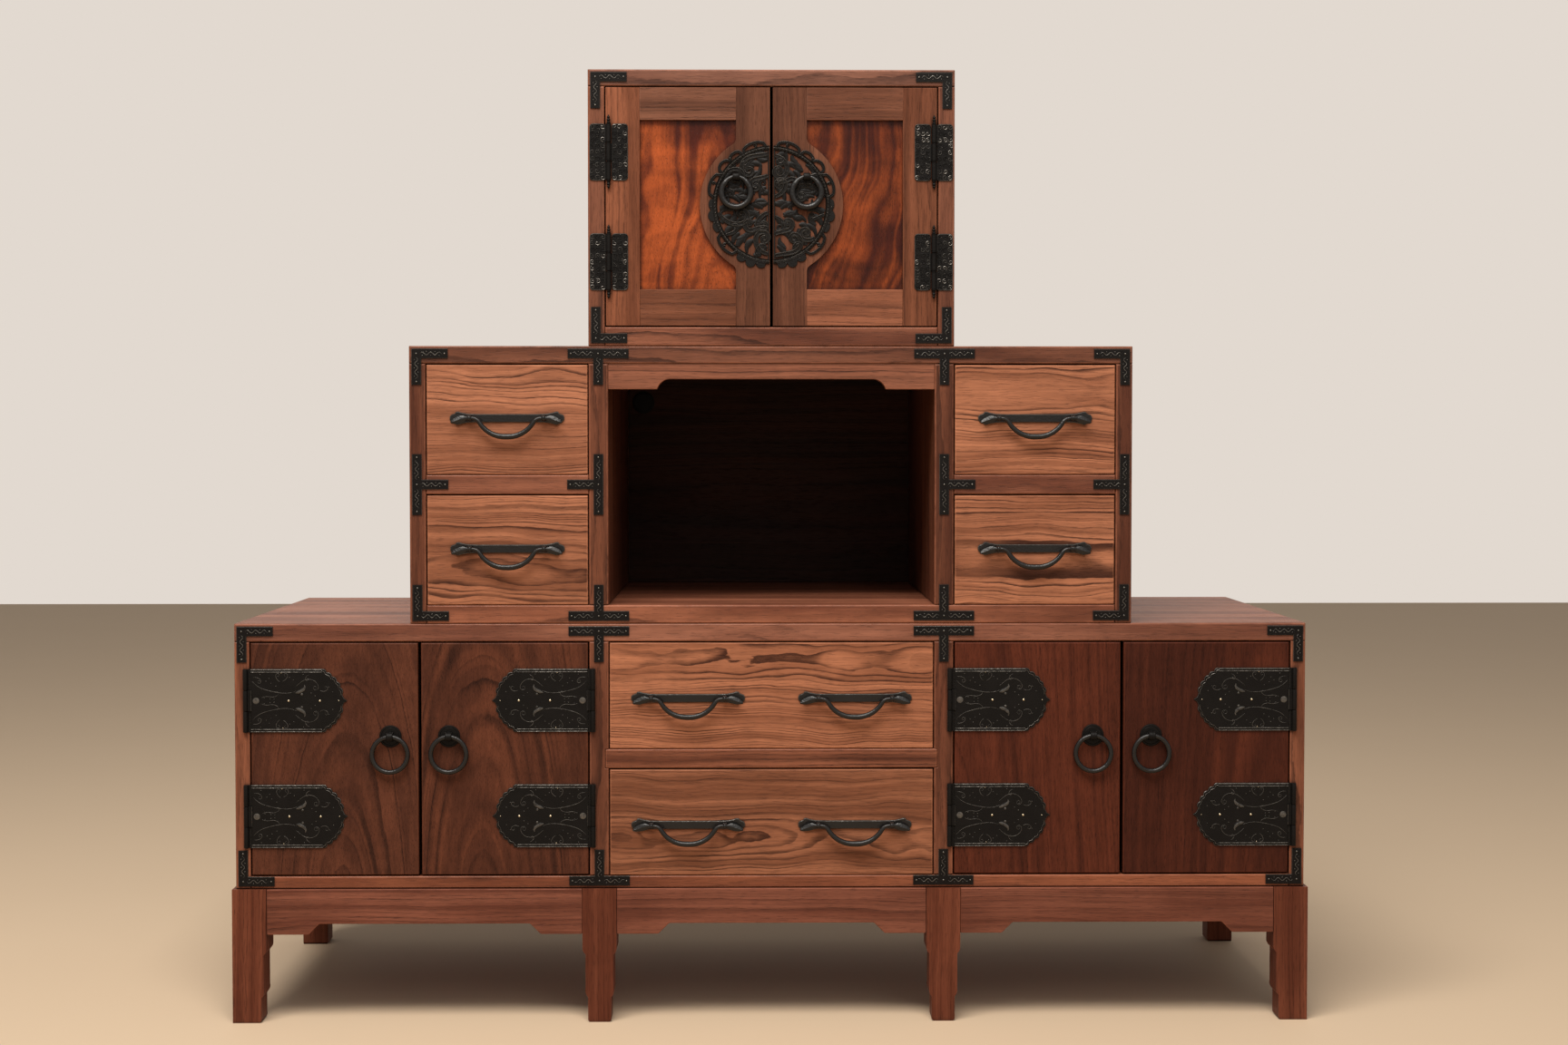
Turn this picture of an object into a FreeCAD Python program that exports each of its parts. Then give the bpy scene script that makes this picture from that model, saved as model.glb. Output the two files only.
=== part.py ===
# Stepped tansu cabinet in three cases on a stand, in millimetres.
# X runs along the front from left to right, the front faces -Y, and Z is up.
# The origin is the middle of the cabinet's footprint on the floor.

import FreeCAD, Part
import math
import os

import Sketcher
from FreeCAD import Placement, Rotation, Vector

# Driving dimensions

SIZES = {
    # cases
    "case_depth": 400.0,
    "base_width": 1100.0,
    "base_height": 273.0,
    "base_side": 15.5,
    "base_lid": 18.5,
    "base_bottom": 13.0,
    "middle_width": 740.0,
    "middle_height": 284.0,
    "middle_side": 17.0,
    "middle_lid": 18.0,
    "middle_bottom": 19.0,
    "upper_height": 281.0,
    "upper_side": 17.0,
    "upper_lid": 17.0,
    "upper_bottom": 19.5,
    "divider_pitch": 354.0,
    "divider_board": 20.0,
    "shelf_board": 20.0,
    "back_board": 8.0,
    "board_ease": 1.2,
    # stand
    "stand_height": 138.0,
    "stand_ledge": 3.5,
    "leg_width": 35.0,
    "leg_waist_inset": 3.1,
    "leg_foot_inset": 2.6,
    "leg_waist_top": 70.0,
    "leg_waist_bottom": 34.0,
    "leg_step_rise": 8.5,
    "leg_step_curve": 9.0,
    "leg_foot_ease": 2.0,
    "apron_board": 20.0,
    "apron_setback": 0.8,
    "apron_drop": 47.0,
    "apron_relief": 11.0,
    "apron_bracket": 43.0,
    "apron_slope": 11.0,
    # niche and drawer rail
    "header_board": 14.0,
    "header_setback": 1.5,
    "header_drop": 26.0,
    "header_relief": 10.4,
    "header_bracket": 50.0,
    "header_slope": 12.0,
    "header_curve": 14.0,
    "rail_lap": 4.0,
    "rail_depth": 60.0,
    "runner_width": 18.0,
    # doors
    "door_gap": 1.2,
    "door_meeting_gap": 3.0,
    "door_board": 18.0,
    "door_ease": 1.0,
    "frame_stile": 34.6,
    "frame_top_rail": 33.0,
    "frame_bottom_rail": 37.0,
    "frame_lobe": 73.0,
    "frame_fillet": 7.0,
    "panel_board": 7.0,
    "panel_setback": 5.0,
    "panel_tongue": 6.0,
    # drawers
    "drawer_side_gap": 0.8,
    "drawer_lift": 0.3,
    "drawer_head_gap": 1.2,
    "drawer_front": 16.0,
    "drawer_side": 9.0,
    "drawer_bottom": 5.0,
    "drawer_tail_gap": 6.0,
    "drawer_wall_drop": 8.0,
    "drawer_groove_lift": 4.0,
    # corner plates
    "iron_sheet": 1.2,
    "iron_band": 9.8,
    "iron_inset": 2.9,
    "iron_arm": 36.8,
    "iron_bar": 62.0,
    # strap hinges of the base doors
    "strap_length": 98.5,
    "strap_height": 65.0,
    "strap_sheet": 2.0,
    "strap_head_inset": 60.4,
    "strap_foot_inset": 62.0,
    "strap_knuckle": 2.4,
    "strap_axis_inset": 5.0,
    "strap_seat": 0.6,
    # butt hinges of the upper doors
    "butt_leaf": 16.7,
    "butt_height": 58.0,
    "butt_corner": 3.5,
    "butt_sheet": 1.5,
    "butt_knuckle": 2.65,
    "butt_axis_inset": 3.1,
    "butt_finial": 9.0,
    "butt_finial_bead": 2.1,
    "butt_head_inset": 67.1,
    "butt_foot_inset": 66.0,
    # hinge fits
    "hinge_pin": 1.2,
    "hinge_play": 0.35,
    # ring pulls
    "ring_rise": 23.5,
    "ring_edge_inset": 28.5,
    "ring_radius": 18.2,
    "ring_bar": 5.0,
    "rose_radius": 11.4,
    "rose_sheet": 1.5,
    "eye_width": 7.0,
    "eye_wall": 1.3,
    "eye_slack": 0.7,
    "eye_sink": 0.3,
    "small_ring_radius": 16.0,
    "small_ring_bar": 4.0,
    "small_ring_offset": 36.0,
    "small_ring_rise": 28.0,
    # pierced medallion
    "medallion_radius": 62.0,
    "medallion_lobe": 17.0,
    "medallion_sheet": 2.0,
    "medallion_opening": 13.0,
    "medallion_opening_reach": 37.0,
    "medallion_edge_gap": 0.5,
    # drawer pulls
    "pull_length": 117.0,
    "pull_waist": 8.3,
    "pull_end": 13.6,
    "pull_end_inset": 8.0,
    "pull_tip": 3.0,
    "pull_tip_height": 6.6,
    "pull_shoulder": 29.0,
    "pull_sheet": 2.0,
    "small_pull_rise": 1.0,
    "big_pull_drop": 3.0,
    "bail_span": 75.5,
    "bail_reach": 8.2,
    "bail_drop": 18.8,
    "bail_grip": 6.0,
    "bail_neck": 3.4,
    "bail_flat": 2.0,
    "bail_neck_curve": 9.0,
    "bail_eye_width": 4.4,
    "bail_eye_wall": 1.0,
    "bail_play": 0.35,
    "bail_leaf": 16.5,
    "bail_leaf_height": 7.6,
    "bail_leaf_sheet": 2.4,
    "bail_leaf_drop": 4.6,
    "big_pull_offset": 85.7,
    # overrun of every cutting tool
    "overrun": 5.0,
}

# Counts and shares

PLATE_SIDES = 16
OPENING_SIDES = 12
EYE_SIDES = 8
KNUCKLE_SIDES = 8
BAR_SIDES = 6
RING_SIDES = 18
BAIL_CURVE_STEPS = 2
BAIL_NECK_STEPS = 2
MEDALLION_LOBE_DEGREES = (4, 30, 40, 66, 77, 103, 114, 140, 150, 176)
MEDALLION_OPENING_DEGREES = (120, 180, 240)
BACK_SEAM_SHARES = (0.186, 0.796)
STRAP_EDGE_SHARES = ((0.749, 1.0), (0.778, 0.90), (0.862, 0.71), (0.934, 0.44), (0.952, 0.15))
LEAF_SHARES = ((0.35, 1.0, 0.14), (1.0, 0.5, 1.0))
STRAP_SINK_SHARE = 0.9

X_AXIS = Vector(1, 0, 0)
Y_AXIS = Vector(0, 1, 0)
Z_AXIS = Vector(0, 0, 1)


class Size:
    """A length and the sheet expression that gives it."""

    def __init__(self, value, text):
        self.value = value
        self.text = text

    def joined(self, other, sign, value):
        text = other.text if isinstance(other, Size) else repr(other)
        return Size(value, "(%s %s %s)" % (self.text, sign, text))

    def __add__(self, other):
        return self.joined(other, "+", self.value + number(other))

    def __sub__(self, other):
        return self.joined(other, "-", self.value - number(other))

    def __mul__(self, other):
        return self.joined(other, "*", self.value * number(other))

    def __truediv__(self, other):
        return self.joined(other, "/", self.value / number(other))

    def __neg__(self):
        return Size(-self.value, "(0 - %s)" % self.text)

    def root(self):
        return Size(math.sqrt(self.value), "sqrt(%s)" % self.text)


def number(size):
    """The plain number of a Size or of a share."""
    return size.value if isinstance(size, Size) else size


ZERO = Size(0.0, "0")


class Sheet:
    """The spreadsheet of driving dimensions; each alias reads back as a Size."""

    def __init__(self, document, table):
        self.sheet = document.addObject("Spreadsheet::Sheet", "Sizes")
        for row, (alias, value) in enumerate(table.items(), start=1):
            self.sheet.set("A%d" % row, alias.replace("_", " "))
            self.sheet.set("B%d" % row, str(value))
            self.sheet.setAlias("B%d" % row, alias)
        document.recompute()

    def __getattr__(self, alias):
        return Size(float(self.sheet.get(alias)), "Sizes.%s" % alias)


doc = FreeCAD.newDocument("tansu_cabinet")
mm = Sheet(doc, SIZES)

# Planes and levels that the pieces share

PULL_EYE_RADIUS = mm.bail_neck / 2 + mm.bail_play + mm.bail_eye_wall
PULL_REACH = mm.bail_reach + PULL_EYE_RADIUS
FRONT = (PULL_REACH - mm.case_depth) / 2
BACK = FRONT + mm.case_depth
BACK_BOARD_FRONT = BACK - mm.back_board

BASE_FOOT = mm.stand_height
BASE_FLOOR = BASE_FOOT + mm.base_bottom
BASE_HEAD = BASE_FOOT + mm.base_height
BASE_CEILING = BASE_HEAD - mm.base_lid
MIDDLE_FLOOR = BASE_HEAD + mm.middle_bottom
MIDDLE_HEAD = BASE_HEAD + mm.middle_height
MIDDLE_CEILING = MIDDLE_HEAD - mm.middle_lid
UPPER_FLOOR = MIDDLE_HEAD + mm.upper_bottom
UPPER_HEAD = MIDDLE_HEAD + mm.upper_height
UPPER_CEILING = UPPER_HEAD - mm.upper_lid

BASE_HALF = mm.base_width / 2
BASE_INNER = BASE_HALF - mm.base_side
MIDDLE_HALF = mm.middle_width / 2
MIDDLE_INNER = MIDDLE_HALF - mm.middle_side
BAY_HALF = (mm.divider_pitch - mm.divider_board) / 2
DIVIDER_FAR = (mm.divider_pitch + mm.divider_board) / 2
UPPER_HALF = DIVIDER_FAR
UPPER_INNER = UPPER_HALF - mm.upper_side

NODES = []


def bind(thing, path, size):
    """Ties one property to the sheet."""
    thing.setExpression(path, size.text)


def place(thing, x=ZERO, y=ZERO, z=ZERO):
    """Ties an object's place to the sheet."""
    for axis, size in zip("xyz", (x, y, z)):
        bind(thing, ".Placement.Base.%s" % axis, size)
    return thing


def box(name, x0, x1, y0, y1, z0, z1):
    """A plain board between six planes."""
    board = doc.addObject("Part::Box", name)
    bind(board, "Length", x1 - x0)
    bind(board, "Width", y1 - y0)
    bind(board, "Height", z1 - z0)
    return place(board, x0, y0, z0)


def rod(name, radius, length, axis, x, y, z, sides):
    """A thin round bar with flat sides that starts at a point and runs along an axis."""
    bar = doc.addObject("Part::Prism", name)
    bar.Polygon = sides
    bar.Placement = Placement(Vector(), Rotation(Z_AXIS, axis))
    bind(bar, "Circumradius", radius)
    bind(bar, "Height", length)
    return place(bar, x, y, z)


def dowel(name, radius, length, axis, x, y, z):
    """A truly round bar that starts at a point and runs along an axis."""
    bar = doc.addObject("Part::Cylinder", name)
    bar.Placement = Placement(Vector(), Rotation(Z_AXIS, axis))
    bind(bar, "Radius", radius)
    bind(bar, "Height", length)
    return place(bar, x, y, z)


def cut(name, base, tool):
    """One shape less another."""
    result = doc.addObject("Part::Cut", name)
    result.Base = base
    result.Tool = tool
    result.Refine = True
    return result


def fuse(name, pieces):
    """Shapes welded into one solid."""
    result = doc.addObject("Part::MultiFuse", name)
    result.Shapes = pieces
    result.Refine = True
    return result


def common(name, first, second):
    """What two shapes share."""
    result = doc.addObject("Part::Common", name)
    result.Base = first
    result.Tool = second
    result.Refine = True
    return result


def group(name, pieces, x=ZERO, y=ZERO, z=ZERO):
    """Separate solids kept together, set off from where they were made."""
    result = doc.addObject("Part::Compound", name)
    result.Links = pieces
    return place(result, x, y, z)


def mirrored(name, source, normal=X_AXIS, plane=ZERO):
    """A copy on the other side of an upright plane."""
    result = doc.addObject("Part::Mirroring", name)
    result.Source = source
    result.Normal = normal
    bind(result, "Base.x" if normal == X_AXIS else "Base.y", plane)
    return result


def node(name, thing):
    """Marks an object as a finished sub-part under its own name."""
    thing.Label = name
    NODES.append(thing)
    return thing


def arc_through(start, end, radius, turn):
    """The arc between two points that bulges to one side of the way."""
    chord = end - start
    half = chord.Length / 2
    rise = math.sqrt(max(radius * radius - half * half, 0.0))
    side = Vector(-chord.y, chord.x, 0).normalize() * (rise if turn == "left" else -rise)
    centre = (start + end) / 2 + side
    first, last = (start, end) if turn == "left" else (end, start)
    angles = [math.atan2(p.y - centre.y, p.x - centre.x) for p in (first, last)]
    return Part.ArcOfCircle(Part.Circle(centre, Z_AXIS, radius), angles[0], angles[1])


def outline(sketch, corners, arcs):
    """Draws a closed outline whose corners and radii are tied to the sheet.

    arcs maps the number of an edge to its radius and to the side that its
    centre lies on, seen along the way round.
    """
    points = [Vector(x.value, y.value, 0) for x, y in corners]
    ends = []
    for at, start in enumerate(points):
        end = points[(at + 1) % len(points)]
        if at in arcs:
            radius, turn = arcs[at]
            sketch.addGeometry(arc_through(start, end, radius.value, turn), False)
            ends.append((1, 2) if turn == "left" else (2, 1))
        else:
            sketch.addGeometry(Part.LineSegment(start, end), False)
            ends.append((1, 2))
    for at, (first, last) in enumerate(ends):
        after = (at + 1) % len(ends)
        sketch.addConstraint(Sketcher.Constraint("Coincident", at, last, after, ends[after][0]))
        for axis, size in zip("XY", corners[at]):
            rule = Sketcher.Constraint("Distance" + axis, at, first, size.value)
            sketch.setExpression("Constraints[%d]" % sketch.addConstraint(rule), size.text)
        if at in arcs:
            rule = Sketcher.Constraint("Radius", at, arcs[at][0].value)
            sketch.setExpression("Constraints[%d]" % sketch.addConstraint(rule), arcs[at][0].text)


def padded(name, corners, thickness, plane="XZ_Plane", arcs=None):
    """A body padded from one outline: towards the front from XZ, to the right from YZ."""
    body = doc.addObject("PartDesign::Body", name)
    sketch = body.newObject("Sketcher::SketchObject", name + "_outline")
    origin = [f for f in body.Origin.OriginFeatures if f.Role == plane]
    sketch.AttachmentSupport = (origin[0], [""])
    sketch.MapMode = "FlatFace"
    outline(sketch, corners, arcs or {})
    pad = body.newObject("PartDesign::Pad", name + "_pad")
    pad.Profile = sketch
    bind(pad, "Length", thickness)
    sketch.Visibility = False
    return body


def rectangle(x0, x1, z0, z1):
    """The four corners of an upright rectangle."""
    return [(x0, z0), (x1, z0), (x1, z1), (x0, z1)]


def eased(name, corners, thickness, ease, front):
    """A board seen from the front, with a small chamfer round its front edges."""
    body = padded(name, corners, thickness)
    doc.recompute()
    pad = body.Tip
    foremost = pad.Shape.BoundBox.YMin
    edges = [
        "Edge%d" % (at + 1)
        for at, edge in enumerate(pad.Shape.Edges)
        if all(abs(vertex.Point.y - foremost) < Part.Precision.confusion() * 10 for vertex in edge.Vertexes)
    ]
    chamfer = body.newObject("PartDesign::Chamfer", name + "_ease")
    chamfer.Base = (pad, edges)
    bind(chamfer, "Size", ease)
    return place(body, y=front + thickness)


# Stand


def leg_side(width, sides):
    """The outline of a leg, shaped on its right side or on both sides."""
    waist, foot = mm.leg_waist_inset, mm.leg_waist_inset + mm.leg_foot_inset
    low, high = mm.leg_waist_bottom, mm.leg_waist_top
    rise, ease = mm.leg_step_rise, mm.leg_foot_ease
    right = [
        (width - foot - ease, ZERO),
        (width - foot, ease),
        (width - foot, low - rise),
        (width - waist, low),
        (width - waist, high),
        (width, high + rise),
        (width, mm.stand_height),
    ]
    curves = {2: (mm.leg_step_curve, "left"), 4: (mm.leg_step_curve, "left")}
    if sides == 1:
        return [(ZERO, ZERO)] + right + [(ZERO, mm.stand_height)], {at + 1: c for at, c in curves.items()}
    left = [(width - x, z) for x, z in reversed(right)]
    curves.update({8: (mm.leg_step_curve, "left"), 10: (mm.leg_step_curve, "left")})
    return right + left, curves


STAND_HALF = BASE_HALF + mm.stand_ledge
STAND_FRONT = FRONT - mm.stand_ledge
LEG_INNER = STAND_HALF - mm.leg_width
MIDDLE_LEG_NEAR = (mm.divider_pitch - mm.leg_width) / 2
MIDDLE_LEG_FAR = (mm.divider_pitch + mm.leg_width) / 2


def stand_legs():
    """Four front legs and two rear corner legs, each shaped where it faces inward."""
    corners, arcs = leg_side(mm.leg_width, 1)
    width, back = mm.leg_width, STAND_FRONT + mm.leg_width
    across = place(padded("leg_across", corners, width, arcs=arcs), -STAND_HALF, back)
    along = place(padded("leg_along", corners, width, "YZ_Plane", arcs), -STAND_HALF, STAND_FRONT)
    front_left = common("front_left_leg", across, along)
    rear_left = mirrored("rear_left_leg", front_left, Y_AXIS, (STAND_FRONT + BACK) / 2)
    corners, arcs = leg_side(width, 2)
    middle = place(padded("middle_leg_across", corners, width, arcs=arcs), -MIDDLE_LEG_FAR, back)
    corners, arcs = leg_side(width, 1)
    profile = padded("middle_leg_along", corners, width, "YZ_Plane", arcs)
    middle_left = common("middle_left_leg", middle, place(profile, -MIDDLE_LEG_FAR, STAND_FRONT))
    left = [front_left, rear_left, middle_left]
    right = [mirrored(leg.Name + "_twin", leg) for leg in left]
    node("stand_legs", group("legs", left + right))


def apron_side(start, end, top, bottom):
    """The outline of an apron with a bracket at each end and a relieved middle."""
    low, high = bottom, bottom + mm.apron_relief
    foot, inner = mm.apron_bracket, mm.apron_bracket + mm.apron_slope
    return [
        (start, low),
        (start + foot, low),
        (start + inner, high),
        (end - inner, high),
        (end - foot, low),
        (end, low),
        (end, top),
        (start, top),
    ]


def stand_aprons():
    """Boards between the legs; the rear one runs from corner leg to corner leg."""
    top, bottom = mm.stand_height, mm.stand_height - mm.apron_drop
    front, rear = STAND_FRONT + mm.apron_setback, BACK - mm.apron_setback
    pieces = []
    bays = {
        "left_bay_apron": (-LEG_INNER, -MIDDLE_LEG_FAR),
        "centre_bay_apron": (-MIDDLE_LEG_NEAR, MIDDLE_LEG_NEAR),
    }
    for name, (start, end) in bays.items():
        corners = apron_side(start, end, top, bottom)
        pieces.append(place(padded(name, corners, mm.apron_board), y=front + mm.apron_board))
    pieces.append(mirrored("right_bay_apron", pieces[0]))
    corners = apron_side(-LEG_INNER, LEG_INNER, top, bottom)
    pieces.append(place(padded("rear_apron", corners, mm.apron_board), y=rear))
    corners = apron_side(STAND_FRONT + mm.leg_width, BACK - mm.leg_width, top, bottom)
    side = padded("left_side_apron", corners, mm.apron_board, "YZ_Plane")
    pieces.append(place(side, -STAND_HALF + mm.apron_setback))
    pieces.append(mirrored("right_side_apron", side))
    node("stand_aprons", group("aprons", pieces))


# Cases


def front_board(name, x0, x1, z0, z1, depth=mm.case_depth):
    """A case board that runs from the front to the back, with eased front edges."""
    return eased(name, rectangle(x0, x1, z0, z1), depth, mm.board_ease, FRONT)


def base_case():
    """The widest case: lid, bottom, sides, dividers, back and the drawer rail with its runners."""
    lid = front_board("base_lid_board", -BASE_HALF, BASE_HALF, BASE_CEILING, BASE_HEAD)
    node("base_top", lid)
    floor = front_board("base_bottom_board", -BASE_INNER, BASE_INNER, BASE_FOOT, BASE_FLOOR)
    node("base_floor", floor)
    side = front_board("base_left_side", -BASE_HALF, -BASE_INNER, BASE_FOOT, BASE_CEILING)
    depth = mm.case_depth - mm.back_board
    plain = front_board("base_left_post", -DIVIDER_FAR, -BAY_HALF, BASE_FLOOR, BASE_CEILING, depth)
    rail_foot = (BASE_FLOOR + BASE_CEILING - mm.shelf_board) / 2
    rail_head = rail_foot + mm.shelf_board
    rail_end = BAY_HALF + mm.rail_lap
    rail_back = FRONT + mm.rail_depth
    housing = box("rail_housing", -rail_end, ZERO, FRONT - mm.overrun, rail_back, rail_foot, rail_head)
    divider = cut("base_left_divider", plain, housing)
    node("base_uprights", group("base_upright_boards", [
        side, divider, mirrored("base_right_side", side), mirrored("base_right_divider", divider),
    ]))
    levels = (BASE_FLOOR, BASE_CEILING)
    back = box("base_back_board", -BASE_INNER, BASE_INNER, BACK_BOARD_FRONT, BACK, *levels)
    node("base_back", back)
    rail = front_board("drawer_rail", -rail_end, rail_end, rail_foot, rail_head, mm.rail_depth)
    inner = -BAY_HALF + mm.runner_width
    runner = box("left_runner", -BAY_HALF, inner, rail_back, BACK_BOARD_FRONT, rail_foot, rail_head)
    node("base_drawer_rail", group("rail_and_runners", [rail, runner, mirrored("right_runner", runner)]))


def header_side():
    """The outline of the niche's header: a relieved lower edge between two brackets."""
    low, high = MIDDLE_CEILING - mm.header_drop, MIDDLE_CEILING - mm.header_drop + mm.header_relief
    foot, inner = BAY_HALF - mm.header_bracket, BAY_HALF - mm.header_bracket - mm.header_slope
    points = [
        (-BAY_HALF, low),
        (-foot, low),
        (-inner, high),
        (inner, high),
        (foot, low),
        (BAY_HALF, low),
        (BAY_HALF, MIDDLE_CEILING),
        (-BAY_HALF, MIDDLE_CEILING),
    ]
    return points, {1: (mm.header_curve, "right"), 3: (mm.header_curve, "right")}


def middle_case():
    """The middle case: two banks of drawers with an open niche between them."""
    lid = front_board("middle_lid_board", -MIDDLE_HALF, MIDDLE_HALF, MIDDLE_CEILING, MIDDLE_HEAD)
    node("middle_top", lid)
    floor = front_board("middle_bottom_board", -MIDDLE_INNER, MIDDLE_INNER, BASE_HEAD, MIDDLE_FLOOR)
    node("middle_floor", floor)
    depth = mm.case_depth - mm.back_board
    side = front_board("middle_left_side", -MIDDLE_HALF, -MIDDLE_INNER, BASE_HEAD, MIDDLE_CEILING)
    divider = front_board("middle_left_divider", -DIVIDER_FAR, -BAY_HALF, MIDDLE_FLOOR, MIDDLE_CEILING, depth)
    node("middle_uprights", group("middle_upright_boards", [
        side, divider, mirrored("middle_right_side", side), mirrored("middle_right_divider", divider),
    ]))
    opening = MIDDLE_CEILING - MIDDLE_FLOOR
    seams = [MIDDLE_FLOOR + opening * share for share in BACK_SEAM_SHARES]
    levels = [MIDDLE_FLOOR] + seams + [MIDDLE_CEILING]
    node("middle_back", group("middle_back_boards", [
        box("middle_back_%d" % at, -MIDDLE_INNER, MIDDLE_INNER, BACK_BOARD_FRONT, BACK, low, high)
        for at, (low, high) in enumerate(zip(levels, levels[1:]), start=1)
    ]))
    foot = (MIDDLE_FLOOR + MIDDLE_CEILING - mm.shelf_board) / 2
    shelf = front_board("left_drawer_shelf", -MIDDLE_INNER, -DIVIDER_FAR, foot, foot + mm.shelf_board, depth)
    node("middle_drawer_shelves", group("drawer_shelf_boards", [shelf, mirrored("right_drawer_shelf", shelf)]))
    corners, arcs = header_side()
    header = padded("header_board", corners, mm.header_board, arcs=arcs)
    node("niche_header", place(header, y=FRONT + mm.header_setback + mm.header_board))


def upper_case():
    """The top case, as wide as the niche below it with its dividers."""
    lid = front_board("upper_lid_board", -UPPER_HALF, UPPER_HALF, UPPER_CEILING, UPPER_HEAD)
    node("upper_top", lid)
    floor = front_board("upper_bottom_board", -UPPER_INNER, UPPER_INNER, MIDDLE_HEAD, UPPER_FLOOR)
    node("upper_floor", floor)
    side = front_board("upper_left_side", -UPPER_HALF, -UPPER_INNER, MIDDLE_HEAD, UPPER_CEILING)
    node("upper_sides", group("upper_side_boards", [side, mirrored("upper_right_side", side)]))
    levels = (UPPER_FLOOR, UPPER_CEILING)
    back = box("upper_back_board", -UPPER_INNER, UPPER_INNER, BACK_BOARD_FRONT, BACK, *levels)
    node("upper_back", back)


# Corner and joint plates


def angle_plate(name, edge, foot, head):
    """Two L plates on the left corners of a case, the lower one turned over."""
    band, arm = mm.iron_band, mm.iron_arm
    x0, z1 = edge + mm.iron_inset, head - mm.iron_inset
    corners = [
        (x0, z1 - arm),
        (x0 + band, z1 - arm),
        (x0 + band, z1 - band),
        (x0 + arm, z1 - band),
        (x0 + arm, z1),
        (x0, z1),
    ]
    upper = place(padded(name + "_upper", corners, mm.iron_sheet), y=FRONT)
    z0 = foot + mm.iron_inset
    corners = [
        (x0, z0),
        (x0 + arm, z0),
        (x0 + arm, z0 + band),
        (x0 + band, z0 + band),
        (x0 + band, z0 + arm),
        (x0, z0 + arm),
    ]
    return [upper, place(padded(name + "_lower", corners, mm.iron_sheet), y=FRONT)]


def tee_plate(name, x, z, way, upright):
    """A T plate; its bar is centred on x or z and its stem runs away from it, one way."""
    band, half, arm = mm.iron_band * way, mm.iron_bar / 2, mm.iron_arm * way
    stem = mm.iron_band / 2
    points = [
        (-half, ZERO),
        (half, ZERO),
        (half, band),
        (stem, band),
        (stem, arm),
        (-stem, arm),
        (-stem, band),
        (-half, band),
    ]
    if upright:
        corners = [(x + along, z + across) for across, along in points]
    else:
        corners = [(x + across, z + along) for across, along in points]
    return place(padded(name, corners, mm.iron_sheet), y=FRONT)


def corner_irons():
    """L plates at the twelve front corners of the three cases."""
    left = angle_plate("base_angle", -BASE_HALF, BASE_FOOT, BASE_HEAD)
    left += angle_plate("middle_angle", -MIDDLE_HALF, BASE_HEAD, MIDDLE_HEAD)
    left += angle_plate("upper_angle", -UPPER_HALF, MIDDLE_HEAD, UPPER_HEAD)
    right = [mirrored(plate.Name + "_twin", plate) for plate in left]
    node("corner_irons", group("angles", left + right))


def tee_irons():
    """T plates where a divider meets a lid or a bottom, and where a shelf meets its posts."""
    post, inset = -(mm.divider_pitch / 2), mm.iron_inset
    shelf = (MIDDLE_FLOOR + MIDDLE_CEILING) / 2
    left = [
        tee_plate("base_head_tee", post, BASE_HEAD - inset, -1, False),
        tee_plate("base_foot_tee", post, BASE_FOOT + inset, 1, False),
        tee_plate("middle_head_tee", post, MIDDLE_HEAD - inset, -1, False),
        tee_plate("middle_foot_tee", post, BASE_HEAD + inset, 1, False),
        tee_plate("outer_shelf_tee", -MIDDLE_HALF + inset, shelf, 1, True),
        tee_plate("inner_shelf_tee", post + mm.iron_band / 2, shelf, -1, True),
    ]
    right = [mirrored(plate.Name + "_twin", plate) for plate in left]
    node("tee_irons", group("tees", left + right))


# Hinges

STRAP_AXIS_Y = FRONT - mm.strap_seat - mm.strap_knuckle * STRAP_SINK_SHARE
STRAP_AXIS_X = -BASE_INNER + mm.door_gap - mm.strap_axis_inset
DOOR_MIDDLE = (BASE_FLOOR + BASE_CEILING) / 2
STRAP_LEVELS = (BASE_CEILING - mm.strap_head_inset, BASE_FLOOR + mm.strap_foot_inset)
BUTT_AXIS_Y = FRONT - mm.hinge_play - mm.butt_knuckle
BUTT_AXIS_X = -UPPER_INNER + mm.door_gap + mm.butt_axis_inset
BUTT_LEVELS = (UPPER_CEILING - mm.butt_head_inset, UPPER_FLOOR + mm.butt_foot_inset)


BASE_BAY_MIDDLE = -(BASE_INNER + DIVIDER_FAR) / 2


def knuckle(name, radius, x, y, low, high):
    """An upright barrel between two levels."""
    return rod(name, radius, high - low, Z_AXIS, x, y, low, KNUCKLE_SIDES)


def hinge_pin(name, x, y, level, height):
    """The round pin of a hinge; it ends inside the outer knuckles, halfway along them."""
    third = height / 3
    return dowel(name + "_pin", mm.hinge_pin, third * 2, Z_AXIS, x, y, level - third)


def pin_bore(name, x, y, low, high):
    """The running hole for a hinge pin through the knuckle of a door's leaf."""
    radius = mm.hinge_pin + mm.hinge_play
    return knuckle(name + "_bore", radius, x, y, low - mm.overrun, high + mm.overrun)


def strap_seat(name, level):
    """The half of a strap hinge that stays on the post: two strips with knuckles, and the pin."""
    half, third = mm.strap_height / 2, mm.strap_height / 6
    low, high = level - half, level + half
    x, y, radius = STRAP_AXIS_X, STRAP_AXIS_Y, mm.strap_knuckle
    pieces = [hinge_pin(name, x, y, level, mm.strap_height)]
    for part, z0, z1 in (("lower", low, level - third), ("upper", level + third, high)):
        part_name, sheet = "%s_%s" % (name, part), FRONT - mm.strap_seat
        pieces.append(knuckle(part_name, radius, x, y, z0, z1))
        pieces.append(box(part_name + "_strip", x - radius, x + radius, sheet, FRONT, z0, z1))
    return fuse(name, pieces)


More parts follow.
